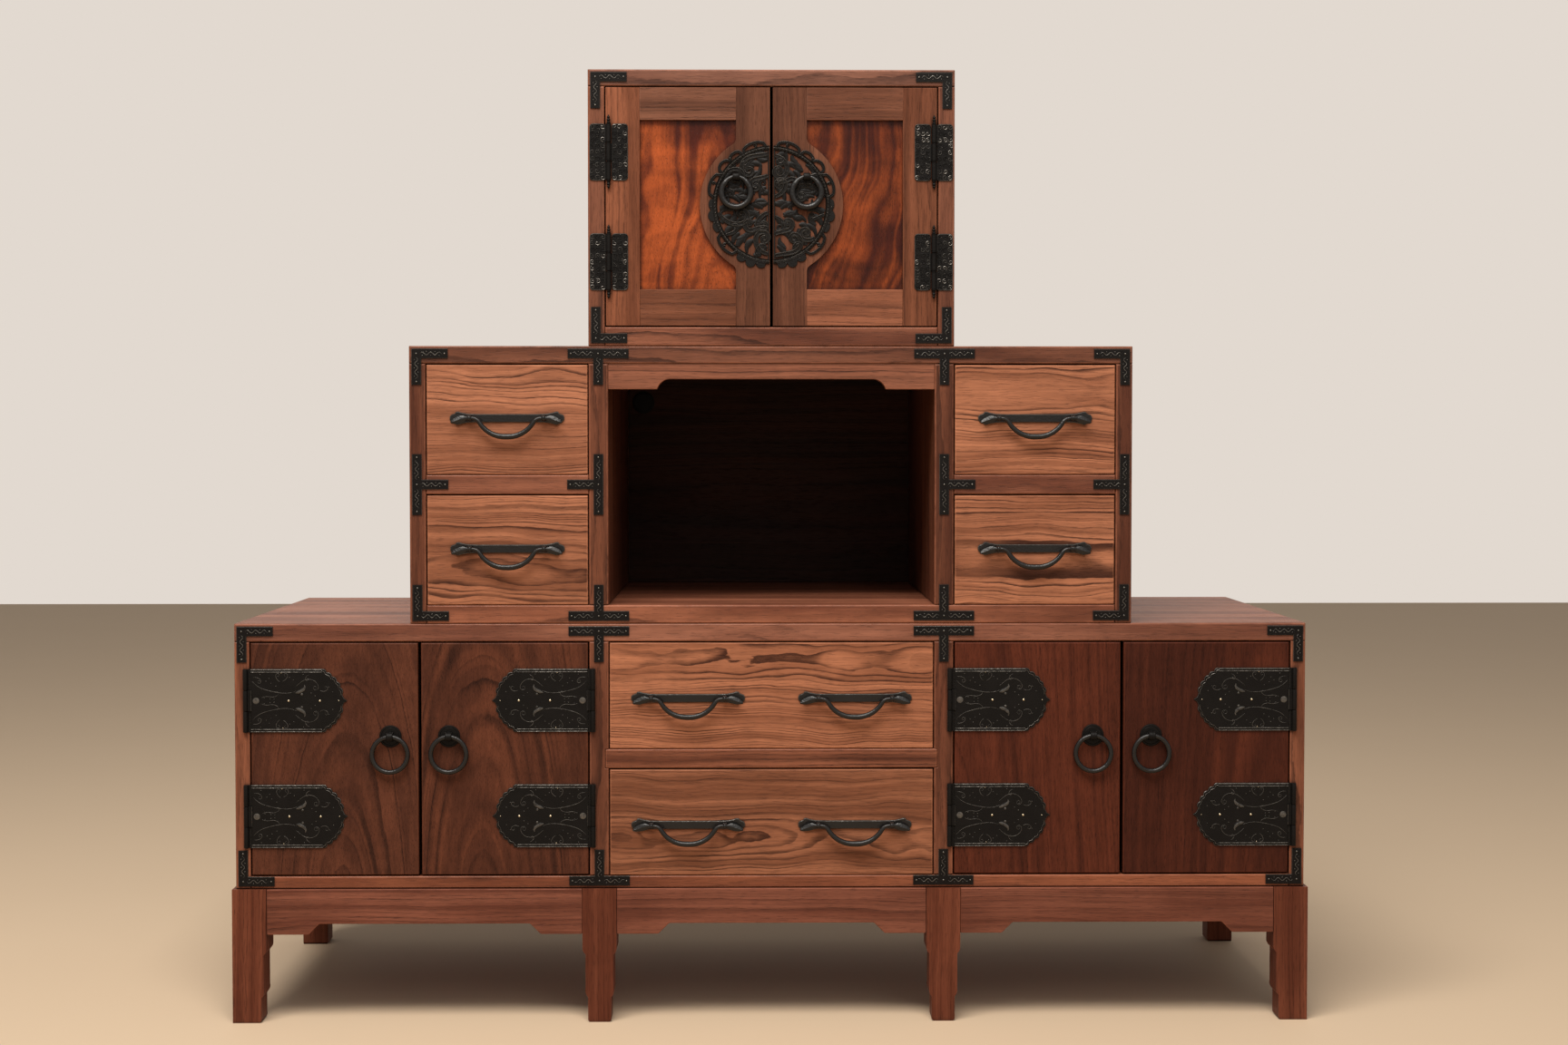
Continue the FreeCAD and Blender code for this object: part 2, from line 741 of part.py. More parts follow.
def strap_leaf(name, level):
    """The strap on a base door: a plate with a cusped end, and its knuckle on the pin."""
    edge = -BASE_INNER + mm.door_gap
    half, third = mm.strap_height / 2, mm.strap_height / 6
    length = mm.strap_length
    upper = [(edge + length * along, level + half * up) for along, up in STRAP_EDGE_SHARES]
    lower = [(edge + length * along, level - half * up) for along, up in STRAP_EDGE_SHARES]
    corners = [(edge, level - half)] + lower + [(edge + length, level)]
    corners += list(reversed(upper)) + [(edge, level + half)]
    plate = place(padded(name + "_plate", corners, mm.strap_sheet), y=FRONT)
    x, y, play = STRAP_AXIS_X, STRAP_AXIS_Y, mm.hinge_play
    low, high = level - third + play, level + third - play
    half_tongue = mm.strap_knuckle / 2
    tongue = box(name + "_tongue", x, edge + half_tongue, y - half_tongue, y + half_tongue, low, high)
    barrel = knuckle(name + "_barrel", mm.strap_knuckle, x, y, low, high)
    solid = fuse(name + "_blank", [plate, tongue, barrel])
    return cut(name, solid, pin_bore(name, x, y, low, high))


def clipped(x0, x1, z0, z1, clip):
    """A rectangle with its four corners cut off."""
    return [
        (x0 + clip, z0),
        (x1 - clip, z0),
        (x1, z0 + clip),
        (x1, z1 - clip),
        (x1 - clip, z1),
        (x0 + clip, z1),
        (x0, z1 - clip),
        (x0, z0 + clip),
    ]


def butt_seat(name, level):
    """The half of a butt hinge on the case: a leaf, two knuckles and the pin with its finials."""
    half, third, radius = mm.butt_height / 2, mm.butt_height / 6, mm.butt_knuckle
    low, high = level - half, level + half
    x, y = BUTT_AXIS_X, BUTT_AXIS_Y
    leaf_end = x - radius - mm.hinge_play
    corners = clipped(leaf_end - mm.butt_leaf, leaf_end, low, high, mm.butt_corner)
    pieces = [place(padded(name + "_leaf", corners, mm.butt_sheet), y=FRONT)]
    pieces.append(hinge_pin(name, x, y, level, mm.butt_height))
    for part, z0, z1 in (("lower", low, level - third), ("upper", level + third, high)):
        pieces.append(knuckle("%s_%s" % (name, part), radius, x, y, z0, z1))
        inner0, inner1 = (z0 + mm.butt_corner, z1) if part == "lower" else (z0, z1 - mm.butt_corner)
        start, y0, y1 = leaf_end - mm.butt_sheet, FRONT - mm.butt_sheet, FRONT - mm.hinge_play
        pieces.append(box("%s_%s_tab" % (name, part), start, x, y0, y1, inner0, inner1))
    neck, bead, finial = mm.hinge_pin, mm.butt_finial_bead, mm.butt_finial
    pieces.append(knuckle(name + "_tail_neck", neck, x, y, low - finial, low + finial))
    pieces.append(knuckle(name + "_head_neck", neck, x, y, high - finial, high + finial))
    pieces.append(knuckle(name + "_tail_bead", bead, x, y, low - finial, low - finial / 2))
    pieces.append(knuckle(name + "_head_bead", bead, x, y, high + finial / 2, high + finial))
    return fuse(name, pieces)


def butt_leaf(name, level):
    """The half of a butt hinge on the door: a leaf and the middle knuckle."""
    half, third, radius, play = mm.butt_height / 2, mm.butt_height / 6, mm.butt_knuckle, mm.hinge_play
    x, y = BUTT_AXIS_X, BUTT_AXIS_Y
    start = x + radius + play
    corners = clipped(start, start + mm.butt_leaf, level - half, level + half, mm.butt_corner)
    plate = place(padded(name + "_leaf", corners, mm.butt_sheet), y=FRONT)
    low, high = level - third + play, level + third - play
    tab = box(name + "_tab", x, start + mm.butt_sheet, FRONT - mm.butt_sheet, FRONT - play, low, high)
    barrel = knuckle(name + "_barrel", radius, x, y, low, high)
    solid = fuse(name + "_blank", [plate, tab, barrel])
    return cut(name, solid, pin_bore(name, x, y, low, high))


def hinge_seats():
    """The fixed halves of all twelve hinges."""
    outer = [strap_seat("strap_seat_%d" % at, level) for at, level in enumerate(STRAP_LEVELS, start=1)]
    inner = [mirrored(seat.Name + "_inner", seat, X_AXIS, BASE_BAY_MIDDLE) for seat in outer]
    butts = [butt_seat("butt_seat_%d" % at, level) for at, level in enumerate(BUTT_LEVELS, start=1)]
    left = outer + inner + butts
    right = [mirrored(seat.Name + "_twin", seat) for seat in left]
    node("hinge_frame_leaves", group("hinge_seats", left + right))


# Ring pulls


def ring(name, radius, wire, x, y, z):
    """A ring of round bar that hangs from the top of its own centre line."""
    centre = z - radius
    path = doc.addObject("Part::RegularPolygon", name + "_path")
    path.Polygon = RING_SIDES
    path.Placement = Placement(Vector(), Rotation(Z_AXIS, -Y_AXIS))
    bind(path, "Circumradius", radius)
    place(path, x, y, centre)
    section = doc.addObject("Part::RegularPolygon", name + "_section")
    section.Polygon = BAR_SIDES
    bind(section, "Circumradius", wire / 2)
    place(section, x + radius, y, centre)
    sweep = doc.addObject("Part::Sweep", name)
    sweep.Sections = [section]
    sweep.Spine = (path, ["Edge%d" % (at + 1) for at in range(RING_SIDES)])
    sweep.Solid = True
    sweep.Transition = "Right corner"
    return sweep


def ring_eye_axis(wire, sheet):
    """How far the axis of a ring's eye stands in front of the wood."""
    return sheet - mm.eye_sink + wire / 2 + mm.eye_slack + mm.eye_wall


def ring_eye(name, wire, sheet, x, z):
    """The eye that a ring turns in, round in front and square behind, and its bore."""
    y = FRONT - ring_eye_axis(wire, sheet)
    bore_radius = wire / 2 + mm.eye_slack
    half = mm.eye_width / 2
    radius = bore_radius + mm.eye_wall
    barrel = dowel(name, radius, mm.eye_width, X_AXIS, x - half, y, z)
    stem = box(name + "_stem", x - half, x + half, y, FRONT - sheet / 2, z - radius, z + radius)
    length = mm.eye_width + mm.overrun * 2
    bore = rod(name + "_bore", bore_radius, length, X_AXIS, x - half - mm.overrun, y, z, EYE_SIDES)
    return [barrel, stem], bore


# Doors


def base_door():
    """The far left base door with its straps, rose and ring; then its three copies."""
    left, right = -BASE_INNER + mm.door_gap, BASE_BAY_MIDDLE - mm.door_meeting_gap / 2
    foot, head = BASE_FLOOR + mm.door_gap, BASE_CEILING - mm.door_gap
    slab = eased("base_door_slab", rectangle(left, right, foot, head), mm.door_board, mm.door_ease, FRONT)
    x, z = right - mm.ring_edge_inset, DOOR_MIDDLE + mm.ring_rise
    rose = rod("base_rose", mm.rose_radius, mm.rose_sheet, -Y_AXIS, x, FRONT, z, PLATE_SIDES)
    eye, bore = ring_eye("base_eye", mm.ring_bar, mm.rose_sheet, x, z)
    mount = cut("base_ring_mount", fuse("base_ring_blank", [rose] + eye), bore)
    straps = [strap_leaf("strap_leaf_%d" % at, level) for at, level in enumerate(STRAP_LEVELS, start=1)]
    irons = group("base_door_irons", straps + [mount])
    y = FRONT - ring_eye_axis(mm.ring_bar, mm.rose_sheet)
    hoop = ring("base_ring", mm.ring_radius, mm.ring_bar, x, y, z)
    for suffix, piece in (("", slab), ("_irons", irons), ("_ring", hoop)):
        near = mirrored("near" + piece.Name, piece, X_AXIS, BASE_BAY_MIDDLE)
        node("base_door_far_left" + suffix, piece)
        node("base_door_near_left" + suffix, near)
        node("base_door_near_right" + suffix, mirrored("twin" + near.Name, near))
        node("base_door_far_right" + suffix, mirrored("twin" + piece.Name, piece))


UPPER_DOOR_LEFT = -UPPER_INNER + mm.door_gap
UPPER_DOOR_RIGHT = -mm.door_meeting_gap / 2
UPPER_DOOR_FOOT = UPPER_FLOOR + mm.door_gap
UPPER_DOOR_HEAD = UPPER_CEILING - mm.door_gap
PANEL_FOOT = UPPER_DOOR_FOOT + mm.frame_bottom_rail
PANEL_HEAD = UPPER_DOOR_HEAD - mm.frame_top_rail
MEDALLION_LEVEL = (PANEL_FOOT + PANEL_HEAD) / 2


def upper_door_frame(panel):
    """Grooved stiles and rails; the inner stile swells into a half disc in front of the panel."""
    outer, inner = UPPER_DOOR_LEFT + mm.frame_stile, UPPER_DOOR_RIGHT - mm.frame_stile
    back = FRONT + mm.door_board
    lobe, fillet = mm.frame_lobe, mm.frame_fillet
    reach, across = lobe + fillet, inner - fillet
    rise = (reach * reach - across * across).root()
    touch_x, touch_rise = across * lobe / reach, rise * lobe / reach
    swelling = [
        (inner, MEDALLION_LEVEL + rise),
        (touch_x, MEDALLION_LEVEL + touch_rise),
        (touch_x, MEDALLION_LEVEL - touch_rise),
        (inner, MEDALLION_LEVEL - rise),
    ]
    arcs = {0: (fillet, "right"), 1: (lobe, "left"), 2: (fillet, "right")}
    disc = padded("half_disc", swelling, mm.panel_setback, arcs=arcs)
    place(disc, y=FRONT + mm.panel_setback)
    levels = (UPPER_DOOR_FOOT, UPPER_DOOR_HEAD)
    post = box("inner_post", inner, UPPER_DOOR_RIGHT, FRONT, back, *levels)
    blanks = [
        box("outer_stile", UPPER_DOOR_LEFT, outer, FRONT, back, *levels),
        box("top_rail", outer, inner, FRONT, back, PANEL_HEAD, UPPER_DOOR_HEAD),
        box("bottom_rail", outer, inner, FRONT, back, UPPER_DOOR_FOOT, PANEL_FOOT),
        fuse("inner_stile", [post, disc]),
    ]
    return group("upper_door_members", [cut(blank.Name + "_grooved", blank, panel) for blank in blanks])


def medallion_half():
    """The left half of the pierced plate: a cloud-lobed rim round three openings."""
    edge = UPPER_DOOR_RIGHT - mm.medallion_edge_gap
    points, arcs = [], {}
    for at, degrees in enumerate(MEDALLION_LOBE_DEGREES):
        angle = math.radians(90 + degrees)
        x = mm.medallion_radius * math.cos(angle)
        points.append((x, MEDALLION_LEVEL + mm.medallion_radius * math.sin(angle)))
        if at % 2 == 0:
            arcs[at] = (mm.medallion_lobe, "left")
    first, last = points[0][1], points[-1][1]
    points = points + [(edge, last), (edge, first)]
    plate = place(padded("medallion_plate", points, mm.medallion_sheet, arcs=arcs), y=FRONT)
    openings = []
    for at, degrees in enumerate(MEDALLION_OPENING_DEGREES):
        angle = math.radians(degrees)
        x = mm.medallion_opening_reach * math.cos(angle)
        z = MEDALLION_LEVEL + mm.medallion_opening_reach * math.sin(angle)
        length = mm.medallion_sheet + mm.overrun * 2
        name = "medallion_opening_%d" % at
        back = FRONT + mm.overrun
        openings.append(rod(name, mm.medallion_opening, length, -Y_AXIS, x, back, z, OPENING_SIDES))
    return cut("medallion_pierced", plate, fuse("medallion_openings", openings))


def upper_door():
    """The left upper door: frame, panel, irons and ring; then its copy on the right."""
    outer, inner = UPPER_DOOR_LEFT + mm.frame_stile, UPPER_DOOR_RIGHT - mm.frame_stile
    tongue, y0 = mm.panel_tongue, FRONT + mm.panel_setback
    panel = box(
        "upper_panel",
        outer - tongue, inner + tongue,
        y0, y0 + mm.panel_board,
        PANEL_FOOT - tongue, PANEL_HEAD + tongue,
    )
    x, z = -mm.small_ring_offset, MEDALLION_LEVEL + mm.small_ring_rise
    eye, bore = ring_eye("upper_eye", mm.small_ring_bar, mm.medallion_sheet, x, z)
    plate = cut("medallion_half", fuse("medallion_blank", [medallion_half()] + eye), bore)
    leaves = [butt_leaf("butt_leaf_%d" % at, level) for at, level in enumerate(BUTT_LEVELS, start=1)]
    y = FRONT - ring_eye_axis(mm.small_ring_bar, mm.medallion_sheet)
    pieces = {
        "frame": upper_door_frame(panel),
        "panel": panel,
        "irons": group("upper_door_irons", leaves + [plate]),
        "ring": ring("upper_ring", mm.small_ring_radius, mm.small_ring_bar, x, y, z),
    }
    for part, piece in pieces.items():
        node("upper_door_left_" + part, piece)
        node("upper_door_right_" + part, mirrored("twin" + piece.Name, piece))


# Drawers and their pulls

BAIL_AXIS_Y = FRONT - mm.bail_reach


def drawer(name, left, right, foot, head):
    """A drawer for an opening: front, two sides, bottom and back, each a board of its own."""
    x0, x1 = left + mm.drawer_side_gap, right - mm.drawer_side_gap
    z0, z1 = foot + mm.drawer_lift, head - mm.drawer_head_gap
    y0, y1 = FRONT + mm.drawer_front, BACK_BOARD_FRONT - mm.drawer_tail_gap
    wall, wall_head = mm.drawer_side, z1 - mm.drawer_wall_drop
    floor = z0 + mm.drawer_groove_lift
    floor_head = floor + mm.drawer_bottom
    return group(name, [
        eased(name + "_front", rectangle(x0, x1, z0, z1), mm.drawer_front, mm.door_ease, FRONT),
        box(name + "_left_side", x0, x0 + wall, y0, y1, z0, wall_head),
        box(name + "_right_side", x1 - wall, x1, y0, y1, z0, wall_head),
        box(name + "_bottom", x0 + wall, x1 - wall, y0, y1, floor, floor_head),
        box(name + "_back", x0 + wall, x1 - wall, y1 - wall, y1, floor_head, wall_head),
    ])


def pull_plate(name, x, z):
    """The fishtailed back plate of a pull, with an eye near each end for the bail."""
    half, tip = mm.pull_length / 2, mm.pull_tip_height / 2
    right = [
        (half - mm.pull_shoulder, -(mm.pull_waist / 2)),
        (half - mm.pull_end_inset, -(mm.pull_end / 2)),
        (half - mm.pull_tip, -tip),
        (half, -(tip / 2)),
    ]
    right += [(along, -up) for along, up in reversed(right)]
    left = [(-along, -up) for along, up in right]
    corners = [(x + along, z + up) for along, up in right + left]
    pieces = [place(padded(name + "_plate", corners, mm.pull_sheet), y=FRONT)]
    width, radius, y = mm.bail_eye_width, PULL_EYE_RADIUS, BAIL_AXIS_Y
    for side, way in (("left", -1), ("right", 1)):
        start = x + mm.bail_span / 2 * way - width / 2
        eye = "%s_%s_eye" % (name, side)
        pieces.append(dowel(eye, radius, width, X_AXIS, start, y, z))
        pieces.append(box(eye + "_stem", start, start + width, y, FRONT, z - radius, z + radius))
    reach = mm.bail_span / 2 + width + mm.overrun
    bore_radius = mm.bail_neck / 2 + mm.bail_play
    bore = rod(name + "_bore", bore_radius, reach * 2, X_AXIS, x - reach, y, z, EYE_SIDES)
    return cut(name, fuse(name + "_blank", pieces), bore)


def bail_stations():
    """Half of a bail from the middle of its grip to the tip of its leaf.

    Each station is x, z, the slope of the bar there, its height and its thickness.
    """
    grip, neck = mm.bail_grip.value, mm.bail_neck.value
    flat, drop, curve = mm.bail_flat.value, mm.bail_drop.value, mm.bail_neck_curve.value
    half_eye = mm.bail_eye_width.value / 2 + mm.bail_play.value
    start, end = mm.bail_span.value / 2 - half_eye, mm.bail_span.value / 2 + half_eye
    turn = 2 * math.atan2(drop, start - flat)
    bend = (start - flat) / math.sin(turn) - curve
    steps = BAIL_CURVE_STEPS + BAIL_NECK_STEPS
    stations = [(flat, -drop, 0.0, grip, grip)]
    for at in range(1, BAIL_CURVE_STEPS + 1):
        angle = turn * at / BAIL_CURVE_STEPS
        size = grip + (neck - grip) * at / steps
        stations.append((flat + bend * math.sin(angle), -drop + bend * (1 - math.cos(angle)), angle, size, size))
    for at in range(1, BAIL_NECK_STEPS + 1):
        angle = turn * (BAIL_NECK_STEPS - at) / BAIL_NECK_STEPS
        size = grip + (neck - grip) * (BAIL_CURVE_STEPS + at) / steps
        stations.append((start - curve * math.sin(angle), curve * (math.cos(angle) - 1), angle, size, size))
    stations.append((end, 0.0, 0.0, neck, neck))
    leaf, fall = mm.bail_leaf.value, mm.bail_leaf_drop.value
    slope = -math.atan2(fall, leaf)
    for along, height, down in LEAF_SHARES:
        tall, thin = mm.bail_leaf_height.value * height, mm.bail_leaf_sheet.value
        stations.append((end + leaf * along, -fall * down, slope, tall, thin))
    return stations


def bail_section(x, z, slope, height, thickness):
    """The corners of the bar's flat-sided section, square to the way it runs."""
    corners = []
    for at in range(BAR_SIDES):
        angle = 2 * math.pi * (at + 0.5) / BAR_SIDES
        up, out = height / 2 * math.cos(angle), thickness / 2 * math.sin(angle)
        corners.append(Vector(x - up * math.sin(slope), out, z + up * math.cos(slope)))
    return corners


def bail(name, x, z):
    """A forged bail: a stout grip that thins to its necks and ends in two leaves."""
    right = bail_stations()
    left = [(-px, pz, -slope, tall, thin) for px, pz, slope, tall, thin in reversed(right)]
    rings = [bail_section(*station) for station in left + right]
    faces = [rings[0], rings[-1]]
    for near, far in zip(rings, rings[1:]):
        for at in range(BAR_SIDES):
            after = (at + 1) % BAR_SIDES
            faces.append([near[at], near[after], far[at]])
            faces.append([near[after], far[after], far[at]])
    shell = Part.makeShell([Part.Face(Part.makePolygon(corners + corners[:1])) for corners in faces])
    piece = doc.addObject("Part::Feature", name)
    piece.Shape = Part.makeSolid(shell)
    return place(piece, x, BAIL_AXIS_Y, z)


def small_drawers():
    """The upper left small drawer with its pull, and its copies below and to the right."""
    opening = (MIDDLE_CEILING - MIDDLE_FLOOR - mm.shelf_board) / 2
    foot = MIDDLE_CEILING - opening
    x, z = -(MIDDLE_INNER + DIVIDER_FAR) / 2, foot + opening / 2 + mm.small_pull_rise
    pieces = {
        "": drawer("small_drawer", -MIDDLE_INNER, -DIVIDER_FAR, foot, MIDDLE_CEILING),
        "_pull": pull_plate("small_pull", x, z),
        "_bail": bail("small_bail", x, z),
    }
    drop = -(opening + mm.shelf_board)
    for suffix, piece in pieces.items():
        lower = group("lower" + piece.Name, [piece], z=drop)
        node("small_drawer_left_upper" + suffix, piece)
        node("small_drawer_left_lower" + suffix, lower)
        node("small_drawer_right_upper" + suffix, mirrored("twin" + piece.Name, piece))
        node("small_drawer_right_lower" + suffix, mirrored("twin" + lower.Name, lower))


def big_drawers():
    """The upper big drawer with its two pulls, and its copy below."""
    opening = (BASE_CEILING - BASE_FLOOR - mm.shelf_board) / 2
    foot = BASE_CEILING - opening
    z = foot + opening / 2 - mm.big_pull_drop
    left_pull = pull_plate("left_big_pull", -mm.big_pull_offset, z)
    left_bail = bail("left_big_bail", -mm.big_pull_offset, z)
    pieces = {
        "": drawer("big_drawer", -BAY_HALF, BAY_HALF, foot, BASE_CEILING),
        "_pulls": group("big_pulls", [left_pull, mirrored("right_big_pull", left_pull)]),
        "_left_bail": left_bail,
        "_right_bail": mirrored("right_big_bail", left_bail),
    }
    drop = -(opening + mm.shelf_board)
    for suffix, piece in pieces.items():
        node("big_drawer_upper" + suffix, piece)
        node("big_drawer_lower" + suffix, group("lower" + piece.Name, [piece], z=drop))


def finish():
    """Checks every object and writes one file for each sub-part."""
    doc.recompute()
    for thing in doc.Objects:
        if "Invalid" in thing.State or "Error" in thing.State:
            raise RuntimeError("%s failed: %s" % (thing.Label, thing.State))
    os.makedirs("parts", exist_ok=True)
    for thing in NODES:
        if thing.Shape.isNull() or not thing.Shape.isValid():
            raise RuntimeError("%s has no valid shape" % thing.Label)
        thing.Shape.exportStep("parts/%s.step" % thing.Label)
    print("%d sub-parts, %d solids" % (len(NODES), sum(len(thing.Shape.Solids) for thing in NODES)))


stand_legs()
stand_aprons()
base_case()
middle_case()
upper_case()
corner_irons()
tee_irons()
hinge_seats()
base_door()
upper_door()
small_drawers()
big_drawers()
finish()
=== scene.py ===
"""Looks of a stepped tansu cabinet: walnut boards, forged black irons and a pierced medallion.

Lengths are in metres in the cabinet's own frame: X runs along the front from left to right,
the front faces -Y, and Z is up. Ornament is drawn in millimetres on planes that face the front.
"""

import functools
import logging
import math
import random
from collections.abc import Callable, Iterable, Sequence
from dataclasses import dataclass, field, replace
from enum import Enum

import bmesh
import bpy
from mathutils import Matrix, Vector, noise


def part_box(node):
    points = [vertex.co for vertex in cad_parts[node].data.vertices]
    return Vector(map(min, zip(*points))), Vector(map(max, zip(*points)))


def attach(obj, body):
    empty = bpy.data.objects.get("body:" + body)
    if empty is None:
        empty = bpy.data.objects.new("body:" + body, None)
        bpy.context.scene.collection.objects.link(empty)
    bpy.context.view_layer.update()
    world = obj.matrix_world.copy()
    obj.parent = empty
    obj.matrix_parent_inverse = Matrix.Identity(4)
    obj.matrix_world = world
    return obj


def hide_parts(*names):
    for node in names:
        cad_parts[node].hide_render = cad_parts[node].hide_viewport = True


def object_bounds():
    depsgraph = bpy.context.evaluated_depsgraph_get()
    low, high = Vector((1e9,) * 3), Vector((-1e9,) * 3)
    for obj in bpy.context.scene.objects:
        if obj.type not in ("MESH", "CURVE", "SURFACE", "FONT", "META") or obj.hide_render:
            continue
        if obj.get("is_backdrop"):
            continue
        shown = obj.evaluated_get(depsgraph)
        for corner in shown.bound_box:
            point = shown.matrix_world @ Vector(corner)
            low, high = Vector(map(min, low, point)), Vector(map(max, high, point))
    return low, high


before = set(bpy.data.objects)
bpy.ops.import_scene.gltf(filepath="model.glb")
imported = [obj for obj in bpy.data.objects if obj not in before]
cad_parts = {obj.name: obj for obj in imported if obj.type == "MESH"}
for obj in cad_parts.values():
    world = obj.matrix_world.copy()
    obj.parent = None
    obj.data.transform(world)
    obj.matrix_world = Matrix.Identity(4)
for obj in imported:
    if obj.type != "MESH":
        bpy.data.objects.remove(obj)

log = logging.getLogger("tansu")

Colour = tuple[float, float, float, float]
Place = tuple[float, float]
Socket = bpy.types.NodeSocket
Value = Socket | float | tuple | Vector | None
Station = tuple[float, float, float, float, float]

MM = 0.001
MICRON = MM * MM
CAD_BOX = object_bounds()
CARCASS = "carcass"
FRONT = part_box("base_top")[0].y
CABINET_MIDDLE = (CAD_BOX[0] + CAD_BOX[1]) / 2


def srgb(red: int, green: int, blue: int) -> Colour:
    """Turns a colour as it is seen into the linear values that shaders use.

    Args:
        red: Red, from 0 to 255.
        green: Green, from 0 to 255.
        blue: Blue, from 0 to 255.

    Returns:
        The linear colour with full alpha.
    """
    def linear(channel: int) -> float:
        """One channel with its gamma curve undone."""
        share = channel / 255
        return share / 12.92 if share <= 0.04045 else ((share + 0.055) / 1.055) ** 2.4

    return (linear(red), linear(green), linear(blue), 1.0)


class Graph:
    """A shader tree written as short calls; most calls return the output that they make."""

    def __init__(self, tree: bpy.types.NodeTree) -> None:
        """Starts writing in a tree."""
        self.tree = tree

    def node(self, kind: str, **settings: object) -> bpy.types.Node:
        """Adds one node.

        Args:
            kind: The node's type name.
            settings: Properties to set on it.

        Returns:
            The new node.
        """
        made = self.tree.nodes.new(kind)
        for name, value in settings.items():
            setattr(made, name, value)
        return made

    def feed(self, socket: Socket, value: Value) -> None:
        """Links an output to a socket, or writes a plain value in it.

        Args:
            socket: The input.
            value: The output or the value; nothing leaves the input as it is.
        """
        if isinstance(value, Socket):
            self.tree.links.new(value, socket)
        elif value is not None:
            socket.default_value = value

    def fed(
        self, kind: str, values: Iterable[tuple[int | str, Value]], **settings: object,
    ) -> bpy.types.Node:
        """Adds one node and feeds it.

        Args:
            kind: The node's type name.
            values: The number or name of an input, and what goes in it.
            settings: Properties to set on it.

        Returns:
            The new node.
        """
        made = self.node(kind, **settings)
        for at, value in values:
            self.feed(made.inputs[at], value)
        return made

    def fill(self, node: bpy.types.Node, **values: Value) -> None:
        """Feeds inputs of a node by name; underscores stand for spaces."""
        for name, value in values.items():
            self.feed(node.inputs[name.replace("_", " ")], value)

    def math(self, operation: str, *values: Value, clamp: bool = False) -> Socket:
        """Does one sum on numbers and returns its result."""
        made = self.fed("ShaderNodeMath", enumerate(values), operation=operation, use_clamp=clamp)
        return made.outputs[0]

    def times(self, first: Value, second: Value, clamp: bool = False) -> Socket:
        """The product of two numbers."""
        return self.math("MULTIPLY", first, second, clamp=clamp)

    def vector(self, operation: str, first: Value, second: Value = None) -> Socket:
        """Does one sum on vectors.

        Args:
            operation: The name of the sum, such as ADD or LENGTH.
            first: The first vector.
            second: The second vector, or a number to scale by.

        Returns:
            The resulting vector, or the number for a length.
        """
        values = ((0, first), ("Scale" if operation == "SCALE" else 1, second))
        made = self.fed("ShaderNodeVectorMath", values, operation=operation)
        return made.outputs["Value" if operation == "LENGTH" else "Vector"]

    def noise(
        self, place: Value, detail: float = 2.0, rough: float = 0.5, out: str = "Fac",
    ) -> Socket:
        """Soft cloudy noise with a period of one at the given place."""
        values = (("Vector", place), ("Scale", 1.0), ("Detail", detail), ("Roughness", rough))
        return self.fed("ShaderNodeTexNoise", values).outputs[out]

    def noise_along(self, distance: Value, detail: float = 1.0) -> Socket:
        """Noise that changes with one number only."""
        values = (("W", distance), ("Scale", 1.0), ("Detail", detail))
        return self.fed("ShaderNodeTexNoise", values, noise_dimensions="1D").outputs["Fac"]

    def step(
        self, value: Value, low: float, high: float, start: Value = 0.0, end: Value = 1.0,
    ) -> Socket:
        """Rises smoothly from start to end while a value goes from low to high."""
        values = enumerate((value, low, high, start, end))
        return self.fed("ShaderNodeMapRange", values, interpolation_type="SMOOTHSTEP").outputs[0]

    def mix(self, share: Value, first: Value, second: Value) -> Socket:
        """Mixes two colours."""
        values = ((0, share), (6, first), (7, second))
        return self.fed("ShaderNodeMix", values, data_type="RGBA").outputs[2]

    def attribute(self, name: str, out: str = "Vector") -> Socket:
        """Reads a value that the mesh carries."""
        return self.node("ShaderNodeAttribute", attribute_name=name).outputs[out]

    def stretched(self, place: Value, along: float, across: float) -> Socket:
        """A place scaled by one rate along the grain and another across it."""
        return self.vector("MULTIPLY", place, (along, across, across))

    def place_in(self, size: Value) -> Socket:
        """The place on the object, counted in steps of a size."""
        where = self.node("ShaderNodeTexCoord").outputs["Object"]
        return self.vector("SCALE", where, self.math("DIVIDE", 1.0, size))


def node_group(
    name: str, inputs: Sequence[tuple[str, float | Colour]], outputs: Sequence[tuple[str, str]],
) -> tuple[Graph, dict[str, Socket], bpy.types.Node]:
    """Makes an empty shader node group with named sockets.

    Args:
        name: The group's name.
        inputs: Name and default of each input; a tuple makes a colour socket.
        outputs: Name and kind of each output, the kind being Float or Color.

    Returns:
        The graph to write in, its inputs by name, and its output node.
    """
    tree = bpy.data.node_groups.new(name, "ShaderNodeTree")
    for label, default in inputs:
        kind = "NodeSocketColor" if isinstance(default, tuple) else "NodeSocketFloat"
        tree.interface.new_socket(label, in_out="INPUT", socket_type=kind).default_value = default
    for label, kind in outputs:
        tree.interface.new_socket(label, in_out="OUTPUT", socket_type="NodeSocket" + kind)
    graph = Graph(tree)
    entry = graph.node("NodeGroupInput")
    given = {socket.name: socket for socket in entry.outputs if socket.name}
    return graph, given, graph.node("NodeGroupOutput")


def linked(name: str, data: bpy.types.ID) -> bpy.types.Object:
    """Makes an object and links it to the scene.

    Args:
        name: Its name.
        data: Its mesh, lamp or camera.

    Returns:
        The new object.
    """
    made = bpy.data.objects.new(name, data)
    bpy.context.scene.collection.objects.link(made)
    return made


def middle_of(node: str) -> Vector:
    """The middle of a CAD node's box."""
    low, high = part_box(node)
    return (low + high) / 2


